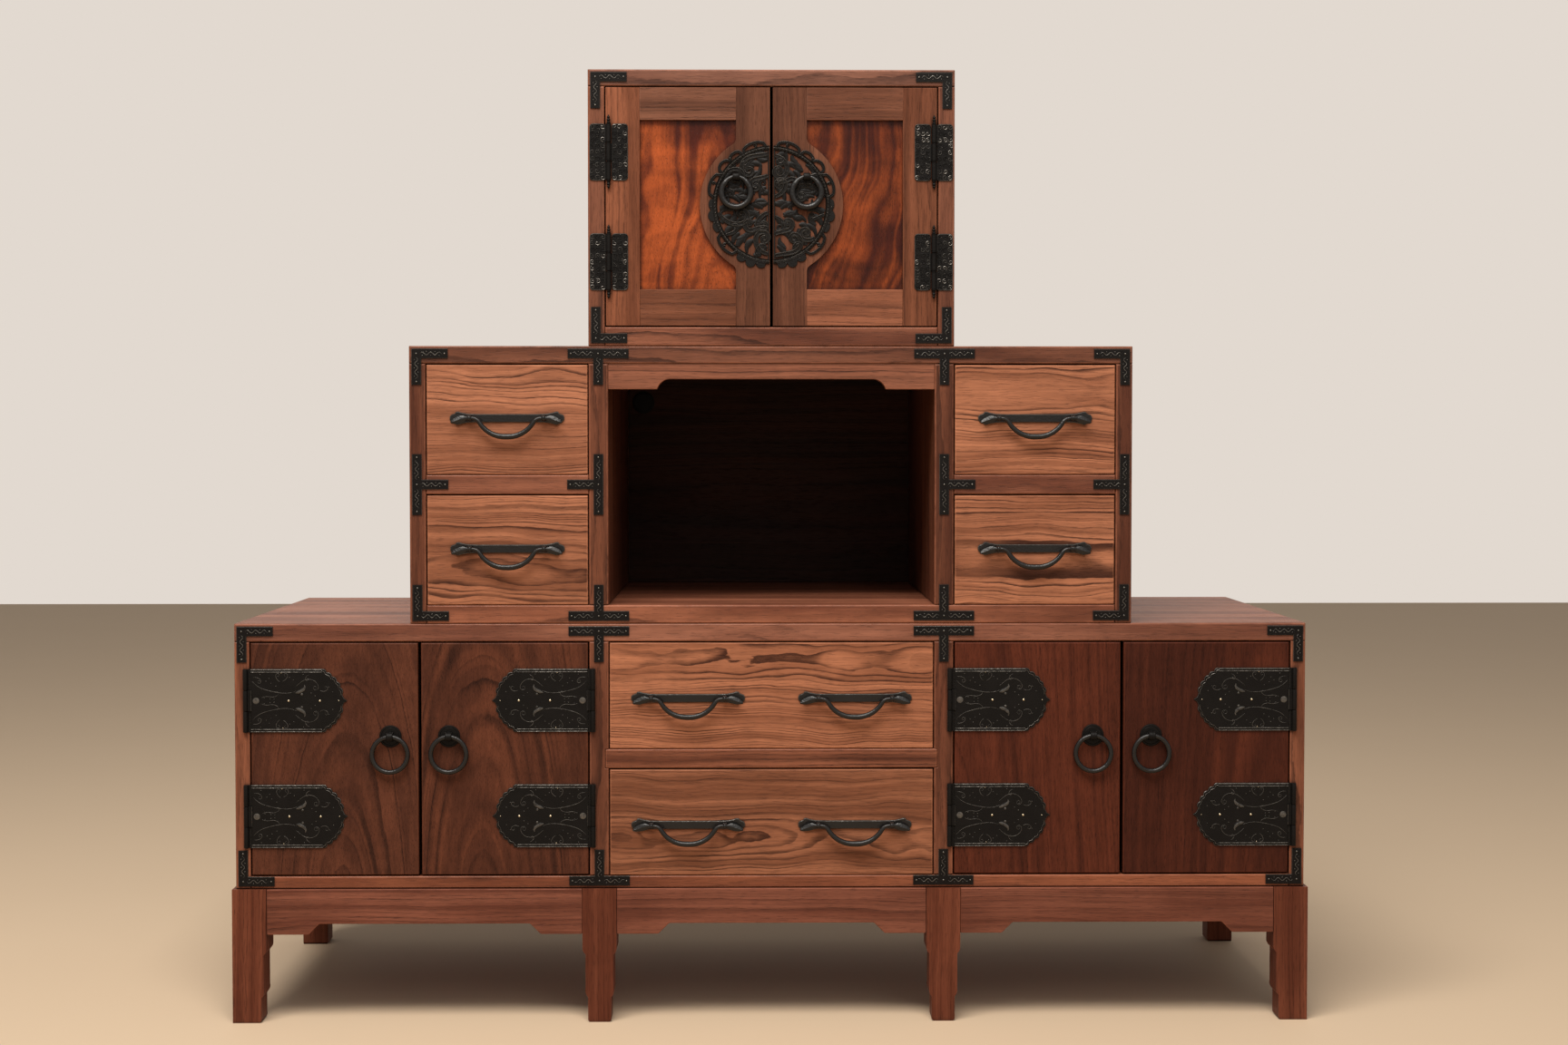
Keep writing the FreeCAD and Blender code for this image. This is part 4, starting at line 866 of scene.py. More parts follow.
class Ironwork:
    """Forged shapes gathered into one mesh.

    They are drawn on a plane that faces the front, in millimetres: a place is (along, up), and
    out is how far a point stands in front of the plane.
    """

    def __init__(self) -> None:
        """Starts with nothing gathered."""
        self.points: list[Vector] = []
        self.faces: list[tuple[int, ...]] = []
        self.wear_and_highlight_mask: list[float] = []
        self.metals: list[int] = []
        # How light the next crests are rubbed: wear, and also painted glints.
        self.rub_and_highlight = 1.0
        self.stand_at(0.0, 0.0)

    def stand_at(self, x: float, z: float, side: int = 1, lift: int = 1, y: float = FRONT) -> None:
        """Moves the drawing plane.

        Args:
            x: Where the plane's own origin lies, in metres.
            z: Its height in metres.
            side: 1 draws to the right, -1 to the left.
            lift: 1 draws upwards, -1 downwards.
            y: The plane itself, in metres.
        """
        self.origin = Vector((x, y, z))
        self.side = side
        self.lift = lift

    def at(self, along: float, up: float, out: float) -> Vector:
        """A point of the plane in the cabinet's frame."""
        return self.origin + Vector((along * self.side, -out, up * self.lift)) * MM

    def skin(
        self, rings: Sequence[Sequence[Vector]], closed: bool = False, crest: Sequence[int] = (),
    ) -> None:
        """Joins rings of equal size into one shell.

        Args:
            rings: The rings, one after another.
            closed: Whether the last ring meets the first; otherwise the ends are capped.
            crest: The strips between ring points that are rubbed light: wear, and also painted
                glints.
        """
        start, size, count = len(self.points), len(rings[0]), len(rings)
        for ring in rings:
            self.points.extend(ring)
        for at in range(count if closed else count - 1):
            near, far = start + at * size, start + (at + 1) % count * size
            for step in range(size):
                after = (step + 1) % size
                self.faces.append((near + step, near + after, far + after, far + step))
                self.wear_and_highlight_mask.append(self.rub_and_highlight if step in crest else 0.0)
        if not closed:
            for end in (start, start + (count - 1) * size):
                self.faces.append(tuple(range(end, end + size)))
                self.wear_and_highlight_mask.append(0.0)
        self.metals.extend([0] * (len(self.faces) - len(self.metals)))

    @staticmethod
    def sideways(places: Sequence[Place], closed: bool) -> list[Place]:
        """The unit vector to the left of a line at each of its places.

        Args:
            places: The places along the line.
            closed: Whether the line comes back to its start.

        Returns:
            One vector for each place.
        """
        turned = []
        count = len(places)
        for at in range(count):
            before = places[at - 1] if closed or at else places[at]
            after = places[(at + 1) % count] if closed or at < count - 1 else places[at]
            du, dv = after[0] - before[0], after[1] - before[1]
            length = math.hypot(du, dv) or 1.0
            turned.append((-dv / length, du / length))
        return turned

    def plate(
        self, outline: Sequence[Place], sheet: float, ease: float = 0.35, base: float = 0.0,
    ) -> None:
        """A flat plate with an eased front edge.

        Args:
            outline: Its corners, counter-clockwise.
            sheet: Its thickness.
            ease: How far the edge is eased.
            base: How far its back stands in front of the plane.
        """
        inward = self.sideways(outline, True)
        inner = [(u + nu * ease, v + nv * ease) for (u, v), (nu, nv) in zip(outline, inward)]
        rings = [
            [self.at(u, v, base) for u, v in outline],
            [self.at(u, v, base + sheet - ease) for u, v in outline],
            [self.at(u, v, base + sheet) for u, v in inner],
        ]
        first = len(self.faces)
        self.skin(rings)
        # The eased edge is marked rubbed: wear, and also a painted highlight.
        for at in range(first + len(outline), first + len(outline) * 2):
            self.wear_and_highlight_mask[at] = 1.0

    def strip(
        self, right: Place, up: Place, sheet: float, ease: float = 0.2, base: float = 0.0,
    ) -> None:
        """An oblong plate between two places along and two places up."""
        (x0, x1), (z0, z1) = right, up
        self.plate([(x0, z0), (x1, z0), (x1, z1), (x0, z1)], sheet, ease, base)

    def ridge(
        self, places: Sequence[Place], width: float, height: float, base: float,
        taper: Place = (0.3, 0.3), crest: Sequence[Place] = ROUND_CREST,
    ) -> None:
        """A raised line that follows places on a plate.

        Args:
            places: The places along it.
            width: Its width.
            height: Its height above the base.
            base: How far its foot stands in front of the plane.
            taper: How much of the width is left at its first and last place.
            crest: Its section, as shares of half the width and of the height.
        """
        rings = []
        last = len(places) - 1
        for at, ((u, v), (nu, nv)) in enumerate(zip(places, self.sideways(places, False))):
            share = at / last
            swell = taper[0] + (1 - taper[0]) * min(1.0, share * 5)
            swell = min(swell, taper[1] + (1 - taper[1]) * min(1.0, (1 - share) * 2.5))
            half, rise = width / 2 * swell, 0.5 + swell / 2
            places_up = [(half * s, base + height * t * rise) for s, t in crest]
            rings.append([self.at(u + nu * left, v + nv * left, out) for left, out in places_up])
        tops = [at for at in range(len(crest) - 1) if crest[at][1] + crest[at + 1][1] > 1.3]
        self.skin(rings, crest=tops)

    def lathe(
        self, along: float, up: float, out: float, profile: Sequence[Place], axis: str = "out",
        steps: int = 14, closed: bool = False,
    ) -> None:
        """A turned piece.

        Args:
            along: Where its axis starts along the plane.
            up: Where it starts up the plane.
            out: Where it starts in front of the plane.
            profile: Places along the axis, each with its radius.
            axis: The way it runs: along, up or out.
            steps: How many sides it has.
            closed: Whether it is a bored piece, whose profile comes back to its first place.
        """
        rings = []
        for station, radius in profile:
            ring = []
            for step in range(steps):
                angle = 2 * math.pi * step / steps
                a, b = radius * math.cos(angle), radius * math.sin(angle)
                moves = {"along": (station, a, b), "up": (a, station, b), "out": (a, b, station)}
                da, du, do = moves[axis]
                ring.append(self.at(along + da, up + du, out + do))
            rings.append(ring)
        self.skin(rings, closed)

    def pin(self, along: float, length: float, out: float) -> None:
        """The upright pin of a hinge, in the middle of the hinge's height."""
        reach = length / 2 + PIN_SPARE
        self.lathe(along, -reach, out, [(0, PIN_RADIUS), (reach * 2, PIN_RADIUS)], "up")

    def dome(
        self, along: float, up: float, base: float, radius: float, height: float, steps: int = 10,
        bright: bool = False,
    ) -> None:
        """A nail head or a small boss, rubbed light on top: wear, and also a painted glint.

        Args:
            along: Its place along the plane.
            up: Its place up the plane.
            base: How far the plate under it stands out.
            radius: Its radius.
            height: How far it rises.
            steps: How many sides it has.
            bright: Whether it is of the brighter metal.
        """
        profile = [(base + height * t, radius * r) for t, r in DOME]
        first = len(self.faces)
        self.lathe(along, up, 0.0, profile, steps=steps)
        for at in range(first + steps, len(self.faces)):
            self.wear_and_highlight_mask[at] = self.rub_and_highlight
        self.metals[first:] = [int(bright)] * (len(self.faces) - first)

    def nail(self, along: float, up: float, base: float, radius: float) -> None:
        """A nail head of brighter metal."""
        self.dome(along, up, base, radius, radius * 0.7, bright=True)

    def knuckle(
        self, along: float, span: Place, out: float, foot: Sequence[Place], steps: int,
    ) -> None:
        """A knuckle about the upright pin of a hinge.

        Args:
            along: Where the pin stands along the plane.
            span: Its lower and its upper end.
            out: How far the pin stands in front of the plane.
            foot: The profile of its lower end, which the upper end mirrors.
            steps: How many sides it has.
        """
        length = span[1] - span[0]
        head = [(length - station, radius) for station, radius in reversed(foot)]
        self.lathe(along, span[0], out, [*foot, *head], "up", steps)

    def bar(
        self, stations: Sequence[Station], out: float, closed: bool = False, sides: int = 14,
    ) -> None:
        """A bar that follows places at one distance in front of the plane.

        Args:
            stations: Along, up, height of the section, its thickness, and how keeled it is, 0 to 1.
            out: How far its middle stands in front of the plane.
            closed: Whether it is a ring.
            sides: How many sides its section has.
        """
        normals = self.sideways([station[:2] for station in stations], closed)
        rings = []
        for (u, v, tall, thin, keel), (nu, nv) in zip(stations, normals):
            ring = []
            for step in range(sides):
                angle = 2 * math.pi * step / sides
                c, s = math.cos(angle), math.sin(angle)
                full = 1 + (1 / (abs(c) + abs(s)) - 1) * keel
                a, b = c * full * tall / 2, s * full * thin / 2
                ring.append(self.at(u + nu * a, v + nv * a, out + b))
            rings.append(ring)
        self.skin(rings, closed)

    def forged(self, amount: float = 0.12, size: float = 9.0) -> None:
        """Moves each point by up to an amount, as hammering does, in dents of a size."""
        noise.seed_set(FORGE_SEED)
        self.points = [p + noise.noise_vector(p / (size * MM)) * amount * MM for p in self.points]

    def made(
        self, name: str, body: str, metal: Metal = Metal.IRON, replaced: Sequence[str] = (),
    ) -> bpy.types.Object:
        """Closes the gathering and makes the object.

        Args:
            name: The piece's name.
            body: The body that it rides on.
            metal: Its main metal; bright faces are nails.
            replaced: The CAD nodes that it stands for.

        Returns:
            The new object.
        """
        mesh = bpy.data.meshes.new(name)
        mesh.from_pydata(self.points, [], self.faces)
        wear_and_highlight_mask = mesh.attributes.new("wear_and_highlight_mask", "FLOAT", "FACE")
        wear_and_highlight_mask.data.foreach_set("value", self.wear_and_highlight_mask)
        mesh.materials.append(metal.value.material())
        mesh.materials.append(Metal.NAIL.value.material())
        mesh.polygons.foreach_set("material_index", self.metals)
        tidy = bmesh.new()
        tidy.from_mesh(mesh)
        bmesh.ops.recalc_face_normals(tidy, faces=tidy.faces)
        for face in tidy.faces:
            face.smooth = True
        tidy.to_mesh(mesh)
        tidy.free()
        mesh.set_sharp_from_angle(angle=CREASE)
        piece = linked(name, mesh)
        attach(piece, body)
        if replaced:
            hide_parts(*replaced)
        return piece


def polar(radius: float, angle: float) -> Place:
    """The place at a radius and an angle in degrees."""
    return radius * math.cos(math.radians(angle)), radius * math.sin(math.radians(angle))


def arc(centre: Place, radius: float, start: float, end: float, count: int) -> list[Place]:
    """Places along a circle's arc, its angles in degrees."""
    turns = [polar(radius, start + (end - start) * at / (count - 1)) for at in range(count)]
    return [(centre[0] + u, centre[1] + v) for u, v in turns]


def flipped(places: Sequence[Place], way: int) -> list[Place]:
    """The places themselves, or for -1 turned upside down."""
    return [(u, v * way) for u, v in places]


def scalloped(corners: Sequence[Place], bulge: float, count: int = 5) -> list[Place]:
    """Joins corners by lobes that swell to the right of the way.

    Args:
        corners: The cusps, one after another.
        bulge: How far each lobe swells, as a share of its chord.
        count: How many places each lobe gets.

    Returns:
        The places along the lobes, the last corner included.
    """
    places = []
    for (u0, v0), (u1, v1) in zip(corners, corners[1:]):
        du, dv = u1 - u0, v1 - v0
        for at in range(count):
            share = at / count
            swell = bulge * 4 * share * (1 - share)
            places.append((u0 + du * share + dv * swell, v0 + dv * share - du * swell))
    return places + [corners[-1]]


@dataclass
class CaseFace:
    """The outer edges of one case's front, in metres."""

    left: float
    right: float
    foot: float
    head: float

    @classmethod
    def between(cls, lid: str, floor: str) -> "CaseFace":
        """The front that a lid and a bottom board enclose."""
        (left, _, _), (right, _, head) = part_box(lid)
        return cls(left, right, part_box(floor)[0].z, head)


BASE = CaseFace.between("base_top", "base_floor")
MIDDLE = CaseFace.between("middle_top", "middle_floor")
UPPER = CaseFace.between("upper_top", "upper_floor")


@dataclass
class Stand:
    """The low stand: six legs and the aprons between them."""

    leg_look: Look = Look(-0.38, 0.7, (40, 30))
    apron_look: Look = Look(-0.02, -0.3, (-25, 26))
    ease: float = 1.1 * MM

    def build(self) -> None:
        """Makes the legs and the aprons."""
        legs, aprons = (self.leg_look,), (self.apron_look,)
        Boards("stand_legs", CARCASS, Wood.STAND, Grain.UPRIGHT, self.ease, legs).build()
        Boards("stand_aprons", CARCASS, Wood.STAND, None, self.ease, aprons).build()


@dataclass
class Cases:
    """The boards of the three cases, the niche's header and its round plug."""

    level_looks: dict[str, Look] = field(default_factory=lambda: {
        "base_top": Look(0.4, -0.5, (15, 22)),
        "base_floor": Look(0.05, 1.0, (40, 30)),
        "middle_top": Look(-0.5, 0.0, (-30, 28)),
        "middle_floor": Look(0.15, 0.3, (50, 34)),
        "upper_top": Look(0.1, -1.0, (-20, 24)),
        "upper_floor": Look(-0.1, 0.1, (35, 30)),
        "middle_drawer_shelves": Look(0.15, 0.1, (25, 26)),
        "niche_header": Look(-0.15, 0.1, (-15, 24)),
    })
    upright_looks: dict[str, Look] = field(default_factory=lambda: {
        "base_uprights": Look(-0.35, 0.5, (40, 30)),
        "middle_uprights": Look(-0.65, 0.6, (-45, 32)),
        "upper_sides": Look(-0.35, 0.1, (30, 28)),
    })
    rail_look: Look = Look(-0.12, 0.5, (20, 28))
    plug_radius: float = 13.0
    plug_sheet: float = 1.6
    plug_rim: tuple[Place, ...] = (
        (0.0, 1.0), (0.7, 1.0), (1.0, 0.95), (1.0, 0.8), (0.6, 0.76), (0.6, 0.1),
    )
    plug_x: float = -149 * MM
    plug_drop: float = 33 * MM

    def build(self) -> None:
        """Makes every case board."""
        for name, look in self.level_looks.items():
            Boards(name, CARCASS, Wood.CASE, Grain.ACROSS, looks=(look,)).build()
        Boards("base_drawer_rail", CARCASS, Wood.CASE, looks=(self.rail_look,)).build()
        for name, look in self.upright_looks.items():
            Boards(name, CARCASS, Wood.CASE, Grain.UPRIGHT, looks=(look,)).build()
        # The backs get the nearly black wood: painted shade for the niche.
        for name in ("base_back", "middle_back", "upper_back"):
            Boards(name, CARCASS, Wood.BACK, Grain.ACROSS).build()
        self.plug()

    def plug(self) -> None:
        """The dark round plug high on the left of the niche's back."""
        low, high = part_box("middle_back")
        work = Ironwork()
        work.stand_at(self.plug_x, high.z - self.plug_drop, y=low.y)
        profile = [(self.plug_sheet * s, self.plug_radius * r) for s, r in self.plug_rim]
        work.lathe(0, 0, 0, profile, steps=40)
        work.made("niche_plug", CARCASS)


@dataclass
class CornerPlates:
    """The L plates on the corners and the T plates on the joints, lightly chased."""

    sheet: float = 1.2
    band: float = 9.8
    inset: float = 2.9
    arm: float = 36.8
    bar: float = 62.0
    wave_length: float = 8.6
    wave_height: float = 1.5
    line: float = 0.95
    lift: float = 0.45
    bud: float = 0.55
    bud_reach: float = 1.3
    nail: float = 1.0
    nail_height: float = 0.8
    nail_inset: float = 3.2
    vine_start: float = 4.0
    vine_inset: float = 5.5
    # How light the stems and the nail heads are rubbed: wear, and also painted glints.
    polish_and_highlight: float = 1.2
    nail_rub_and_highlight: float = 2.4
    tee_offset: float = 6 * MM

    def vine(self, work: Ironwork, start: Place, end: Place) -> None:
        """A shallow waving stem with buds, between two places of a plate.

        Args:
            work: What it joins.
            start: Where the stem starts.
            end: Where it ends.
        """
        du, dv = end[0] - start[0], end[1] - start[1]
        length = math.hypot(du, dv)
        du, dv = du / length, dv / length

        def beside(along: float, left: float) -> Place:
            """A place along the stem's way and to its left."""
            return (start[0] + du * along - dv * left, start[1] + dv * along + du * left)

        count = max(8, round(length * 1.3))
        turn = 2 * math.pi / self.wave_length
        steps = [length * at / count for at in range(count + 1)]
        places = [beside(along, self.wave_height * math.sin(turn * along)) for along in steps]
        base = self.sheet - SINK
        work.rub_and_highlight = self.polish_and_highlight
        work.ridge(places, self.line, self.lift, base)
        for at in range(int(length / self.wave_length * 2)):
            tip = self.wave_height * self.bud_reach * (1 if at % 2 else -1)
            place = beside(self.wave_length * (at / 2 + 0.25), tip)
            work.dome(*place, base, self.bud, self.lift, 6)
        work.rub_and_highlight = 1.0

    def head(self, work: Ironwork, place: Place) -> None:
        """A polished nail head.

        Args:
            work: What it joins.
            place: Its middle.
        """
        work.rub_and_highlight = self.nail_rub_and_highlight
        work.dome(*place, self.sheet, self.nail, self.nail_height)
        work.rub_and_highlight = 1.0

    def angle(self, work: Ironwork) -> None:
        """An L plate whose outer corner is the plane's origin.

        Args:
            work: What it joins.
        """
        near, broad, far = self.inset, self.inset + self.band, self.inset + self.arm
        inner = [(broad, -far), (broad, -broad), (far, -broad)]
        work.plate([(near, -near), (near, -far), *inner, (far, -near)], self.sheet)
        middle, nail = near + self.band / 2, far - self.nail_inset
        first, last = middle + self.vine_start, far - self.vine_inset
        self.vine(work, (first, -middle), (last, -middle))
        self.vine(work, (middle, -first), (middle, -last))
        for place in ((nail, -middle), (middle, -nail), (middle, -middle)):
            self.head(work, place)

    def tee(self, work: Ironwork, upright: bool) -> None:
        """A T plate whose bar starts at the origin and whose stem runs down, or to the right.

        Args:
            work: What it joins.
            upright: Whether the bar is upright.
        """
        h, b, a, s = self.bar / 2, self.band, self.arm, self.band / 2
        outline = [(-h, 0), (-h, -b), (-s, -b), (-s, -a), (s, -a), (s, -b), (h, -b), (h, 0)]
        first, last, nail = s + self.vine_start, self.vine_inset, self.nail_inset
        stems = [((5, -s), (h - last, -s)), ((-5, -s), (last - h, -s))]
        stems.append(((0, -first), (0, last - a)))
        nails = [(h - nail, -s), (nail - h, -s), (0, nail - a), (0, -s)]

        def turned(place: Place) -> Place:
            """The place itself, or turned a quarter for an upright bar."""
            return (-place[1], place[0]) if upright else place

        work.plate([turned(place) for place in outline], self.sheet)
        for start, end in stems:
            self.vine(work, turned(start), turned(end))
        for place in nails:
            self.head(work, turned(place))

    def build(self) -> None:
        """Makes both kinds of plate."""
        work = Ironwork()
        for case in (BASE, MIDDLE, UPPER):
            for x, side in ((case.left, 1), (case.right, -1)):
                for z, lift in ((case.head, 1), (case.foot, -1)):
                    work.stand_at(x, z, side, lift)
                    self.angle(work)
        work.made("corner_plates", CARCASS, replaced=["corner_irons"])
        work = Ironwork()
        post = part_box("base_drawer_rail")[1].x + self.tee_offset
        shelf = middle_of("middle_drawer_shelves").z
        inset = self.inset * MM
        for side in (-1, 1):
            for case in (BASE, MIDDLE):
                for z, lift in ((case.head - inset, 1), (case.foot + inset, -1)):
                    work.stand_at(post * side, z, side, lift)
                    self.tee(work, False)
            work.stand_at((MIDDLE.right - inset) * side, shelf, -side)
            self.tee(work, True)
            work.stand_at((post - self.band / 2 * MM) * side, shelf, side)
            self.tee(work, True)
        work.made("tee_plates", CARCASS, replaced=["tee_irons"])


@dataclass
class StrapHinge:
    """The broad strap hinges of the base doors: chased leaf, knuckles and rivets."""

    length: float = 98.5
    height: float = 65.0
    sheet: float = 1.3
    ease: float = 0.4
    barrel: float = 2.35
    knuckle_foot: tuple[Place, ...] = ((0, 0.8), (0.25, 0.97), (0.5, 1.0))
    seat_half: float = 2.4
    sink: float = 0.9
    seat: float = 0.6
    seat_sheet: float = 1.2
    tongue: float = 1.6
    axis_inset: float = 5.0
    play: float = 0.4
    head_inset: float = 60.4 * MM
    foot_inset: float = 62.0 * MM
    border: tuple[float, float] = (0.75, 3.1)
    boss: float = 3.4
    nail: float = 1.25
    small_nail: float = 0.55
    nail_shares: tuple[float, float] = (0.395, 0.72)
    small_nail_shares: tuple[Place, ...] = ((0.335, -0.86), (0.915, 0), (0.32, 0.88))
    lobe: float = -0.26
    tip_shares: tuple[Place, ...] = ((0.966, 0.075), (1.0, 0.0))
    cusp_shares: tuple[Place, ...] = (
        (0.745, 1.0), (0.786, 0.885), (0.845, 0.76), (0.893, 0.6), (0.928, 0.42), (0.948, 0.2),
    )
    stems: tuple[Vine, ...] = (
        Vine((2.0, 20.0), -50, ((14, 1.5, 3.0), (16, 0.6, 0.6), (12, 1.0, 2.0), (6, 2.5, 3.5))),
        Vine((46, 14.5), 38, ((9, 1.5, -2.5), (20, -4.2, -6.5), (17, -13, -42))),
        Vine((30, 19.5), 150, ((8, -5, -9), (9, -20, -48))),
        Vine((33, 20), 20, ((8, 5, 9), (8, 20, 48))),
        Vine((3, 24), 8, ((9, -3, -12), (10, -22, -50))),
        Vine((11, 3.0), 30, ((9, -5, -4), (9, 3, 9), (6, 22, 46))),
        Vine((60, 26.5), 190, ((6, 8, 16), (6, 30, 55))),
        Vine((71, 11), -40, ((8, 8, 12), (8, 20, 50))),
    )
    buds: tuple[Place, ...] = (
        (16, 20), (19, 23), (21, 18), (40, 24), (44, 21.5), (26, 15), (14, 3), (20, 2), (24, 1.5),
        (62, 8), (66, 5), (80, 14), (84, 9), (54, 27), (57, 24.5), (10, 27),
    )
    leaf_head: tuple[Place, ...] = (
        (46.0, 8.0), (49.0, 8.8), (52.0, 10.0), (54.5, 11.8), (55.8, 14.2), (55.2, 16.4),
    )
    leaf_eye: Place = (52.4, 6.6)

    @property
    def levels(self) -> tuple[float, float]:
        """The heights of the two straps on each door, in metres."""
        head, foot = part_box("base_top")[0].z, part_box("base_floor")[1].z
        return head - self.head_inset, foot + self.foot_inset

    @property
    def axis_out(self) -> float:
        """How far the pin stands in front of the wood."""
        return self.seat + self.seat_half * self.sink

    def cusps(self) -> list[Place]:
        """The corners of the strap's upper edge, towards its tip."""
        return [(self.length * along, self.height / 2 * up) for along, up in self.cusp_shares]

    def leaf(self, work: Ironwork) -> None:
        """The strap itself, drawn from the door's edge at its middle height.

        Args:
            work: What it joins.
        """
        half = self.height / 2
        tip = [(self.length * along, half * up) for along, up in self.tip_shares]
        outline = [(0.0, half)] + scalloped(self.cusps(), self.lobe) + tip
        work.plate(list(reversed(outline)) + flipped(outline[:-1], -1), self.sheet, self.ease)
        shoulder = self.cusps()[0][0]
        # Rubbed crests below are lightened: wear, and also painted glints.
        work.rub_and_highlight = 1.1
        for up in (half - inset for inset in self.border):
            for way in (1, -1):
                line = [(0.6, up * way), (shoulder / 2, up * way), (shoulder - 0.6, up * way)]
                work.ridge(line, 1.0, 0.62, self.sheet, (1, 0.8))
        for way in (1, -1):
            self.chasing(work, way)
        self.nails(work)
        third = self.height / 6 - self.play
        self.knuckle(work, -third, third)
        self.tongue_plate(work, third)

    def chasing(self, work: Ironwork, way: int) -> None:
        """The raised work on one half of a strap.

        Args:
            work: What it joins.
            way: 1 for the upper half, -1 for the lower half.
        """
        cusps, base = self.cusps(), self.sheet - SINK
        # Rubbed crests: wear, and also painted glints.
        work.rub_and_highlight = 1.5
        for (u0, v0), (u1, v1) in zip(cusps, cusps[1:]):
            start, middle = (u0 * 0.985 + 0.2, v0 - 1.6), ((u0 + u1) / 2, (v0 + v1) / 2 - 0.9)
            line = [start, middle, (u1 * 0.985, v1 - 1.4)]
            work.ridge(flipped(line, way), 0.8, 0.55, self.sheet)
        work.rub_and_highlight = 0.7
        for stem in self.stems:
            work.ridge(flipped(stem.points(), way), 0.8, 0.42, self.sheet - 0.04, (0.5, 0.35))
        for u, v in self.buds:
            work.dome(u, v * way, base, 0.6, 0.45, 6)
        work.ridge(flipped(self.leaf_head, way), 4.6, 0.8, base, (0.3, 0.2))
        u, v = self.leaf_eye
        work.dome(u, v * way, base, 1.3, 0.6, 8)

    def nails(self, work: Ironwork) -> None:
        """The low boss and the bright nails along the middle of a strap.

        Args:
            work: What it joins.
        """
        work.rub_and_highlight = 1.0
        work.dome(5.6, 0, self.sheet - SINK * 2, self.boss, 0.4, 20)
        for share in self.nail_shares:
            work.nail(self.length * share, 0, self.sheet, self.nail)
        for along, up in self.small_nail_shares:
            work.nail(self.length * along, self.height / 2 * up, self.sheet, self.small_nail)

    def tongue_plate(self, work: Ironwork, half: float) -> None:
        """The bend of sheet between the strap and its knuckle."""
        base = self.tongue - self.seat
        work.strip((-self.axis_inset, 1.0), (-half, half), self.tongue, 0.3, base)

    def knuckle(self, work: Ironwork, low: float, high: float) -> None:
        """One knuckle about the pin, its ends eased."""
        foot = [(station, self.barrel * share) for station, share in self.knuckle_foot]
        work.knuckle(-self.axis_inset, (low, high), self.axis_out, foot, 20)

    def fixed_half(self, work: Ironwork) -> None:
        """The strip and knuckles on the post, and the pin's ends.

        Args:
            work: What it joins.
        """
        third, left = self.height / 6, -self.axis_inset - self.seat_half
        for low, high in ((-self.height / 2, -third), (third, self.height / 2)):
            work.strip((left, -self.play), (low, high), self.seat_sheet)
            self.knuckle(work, low, high)
        work.pin(-self.axis_inset, third * 2, self.axis_out)


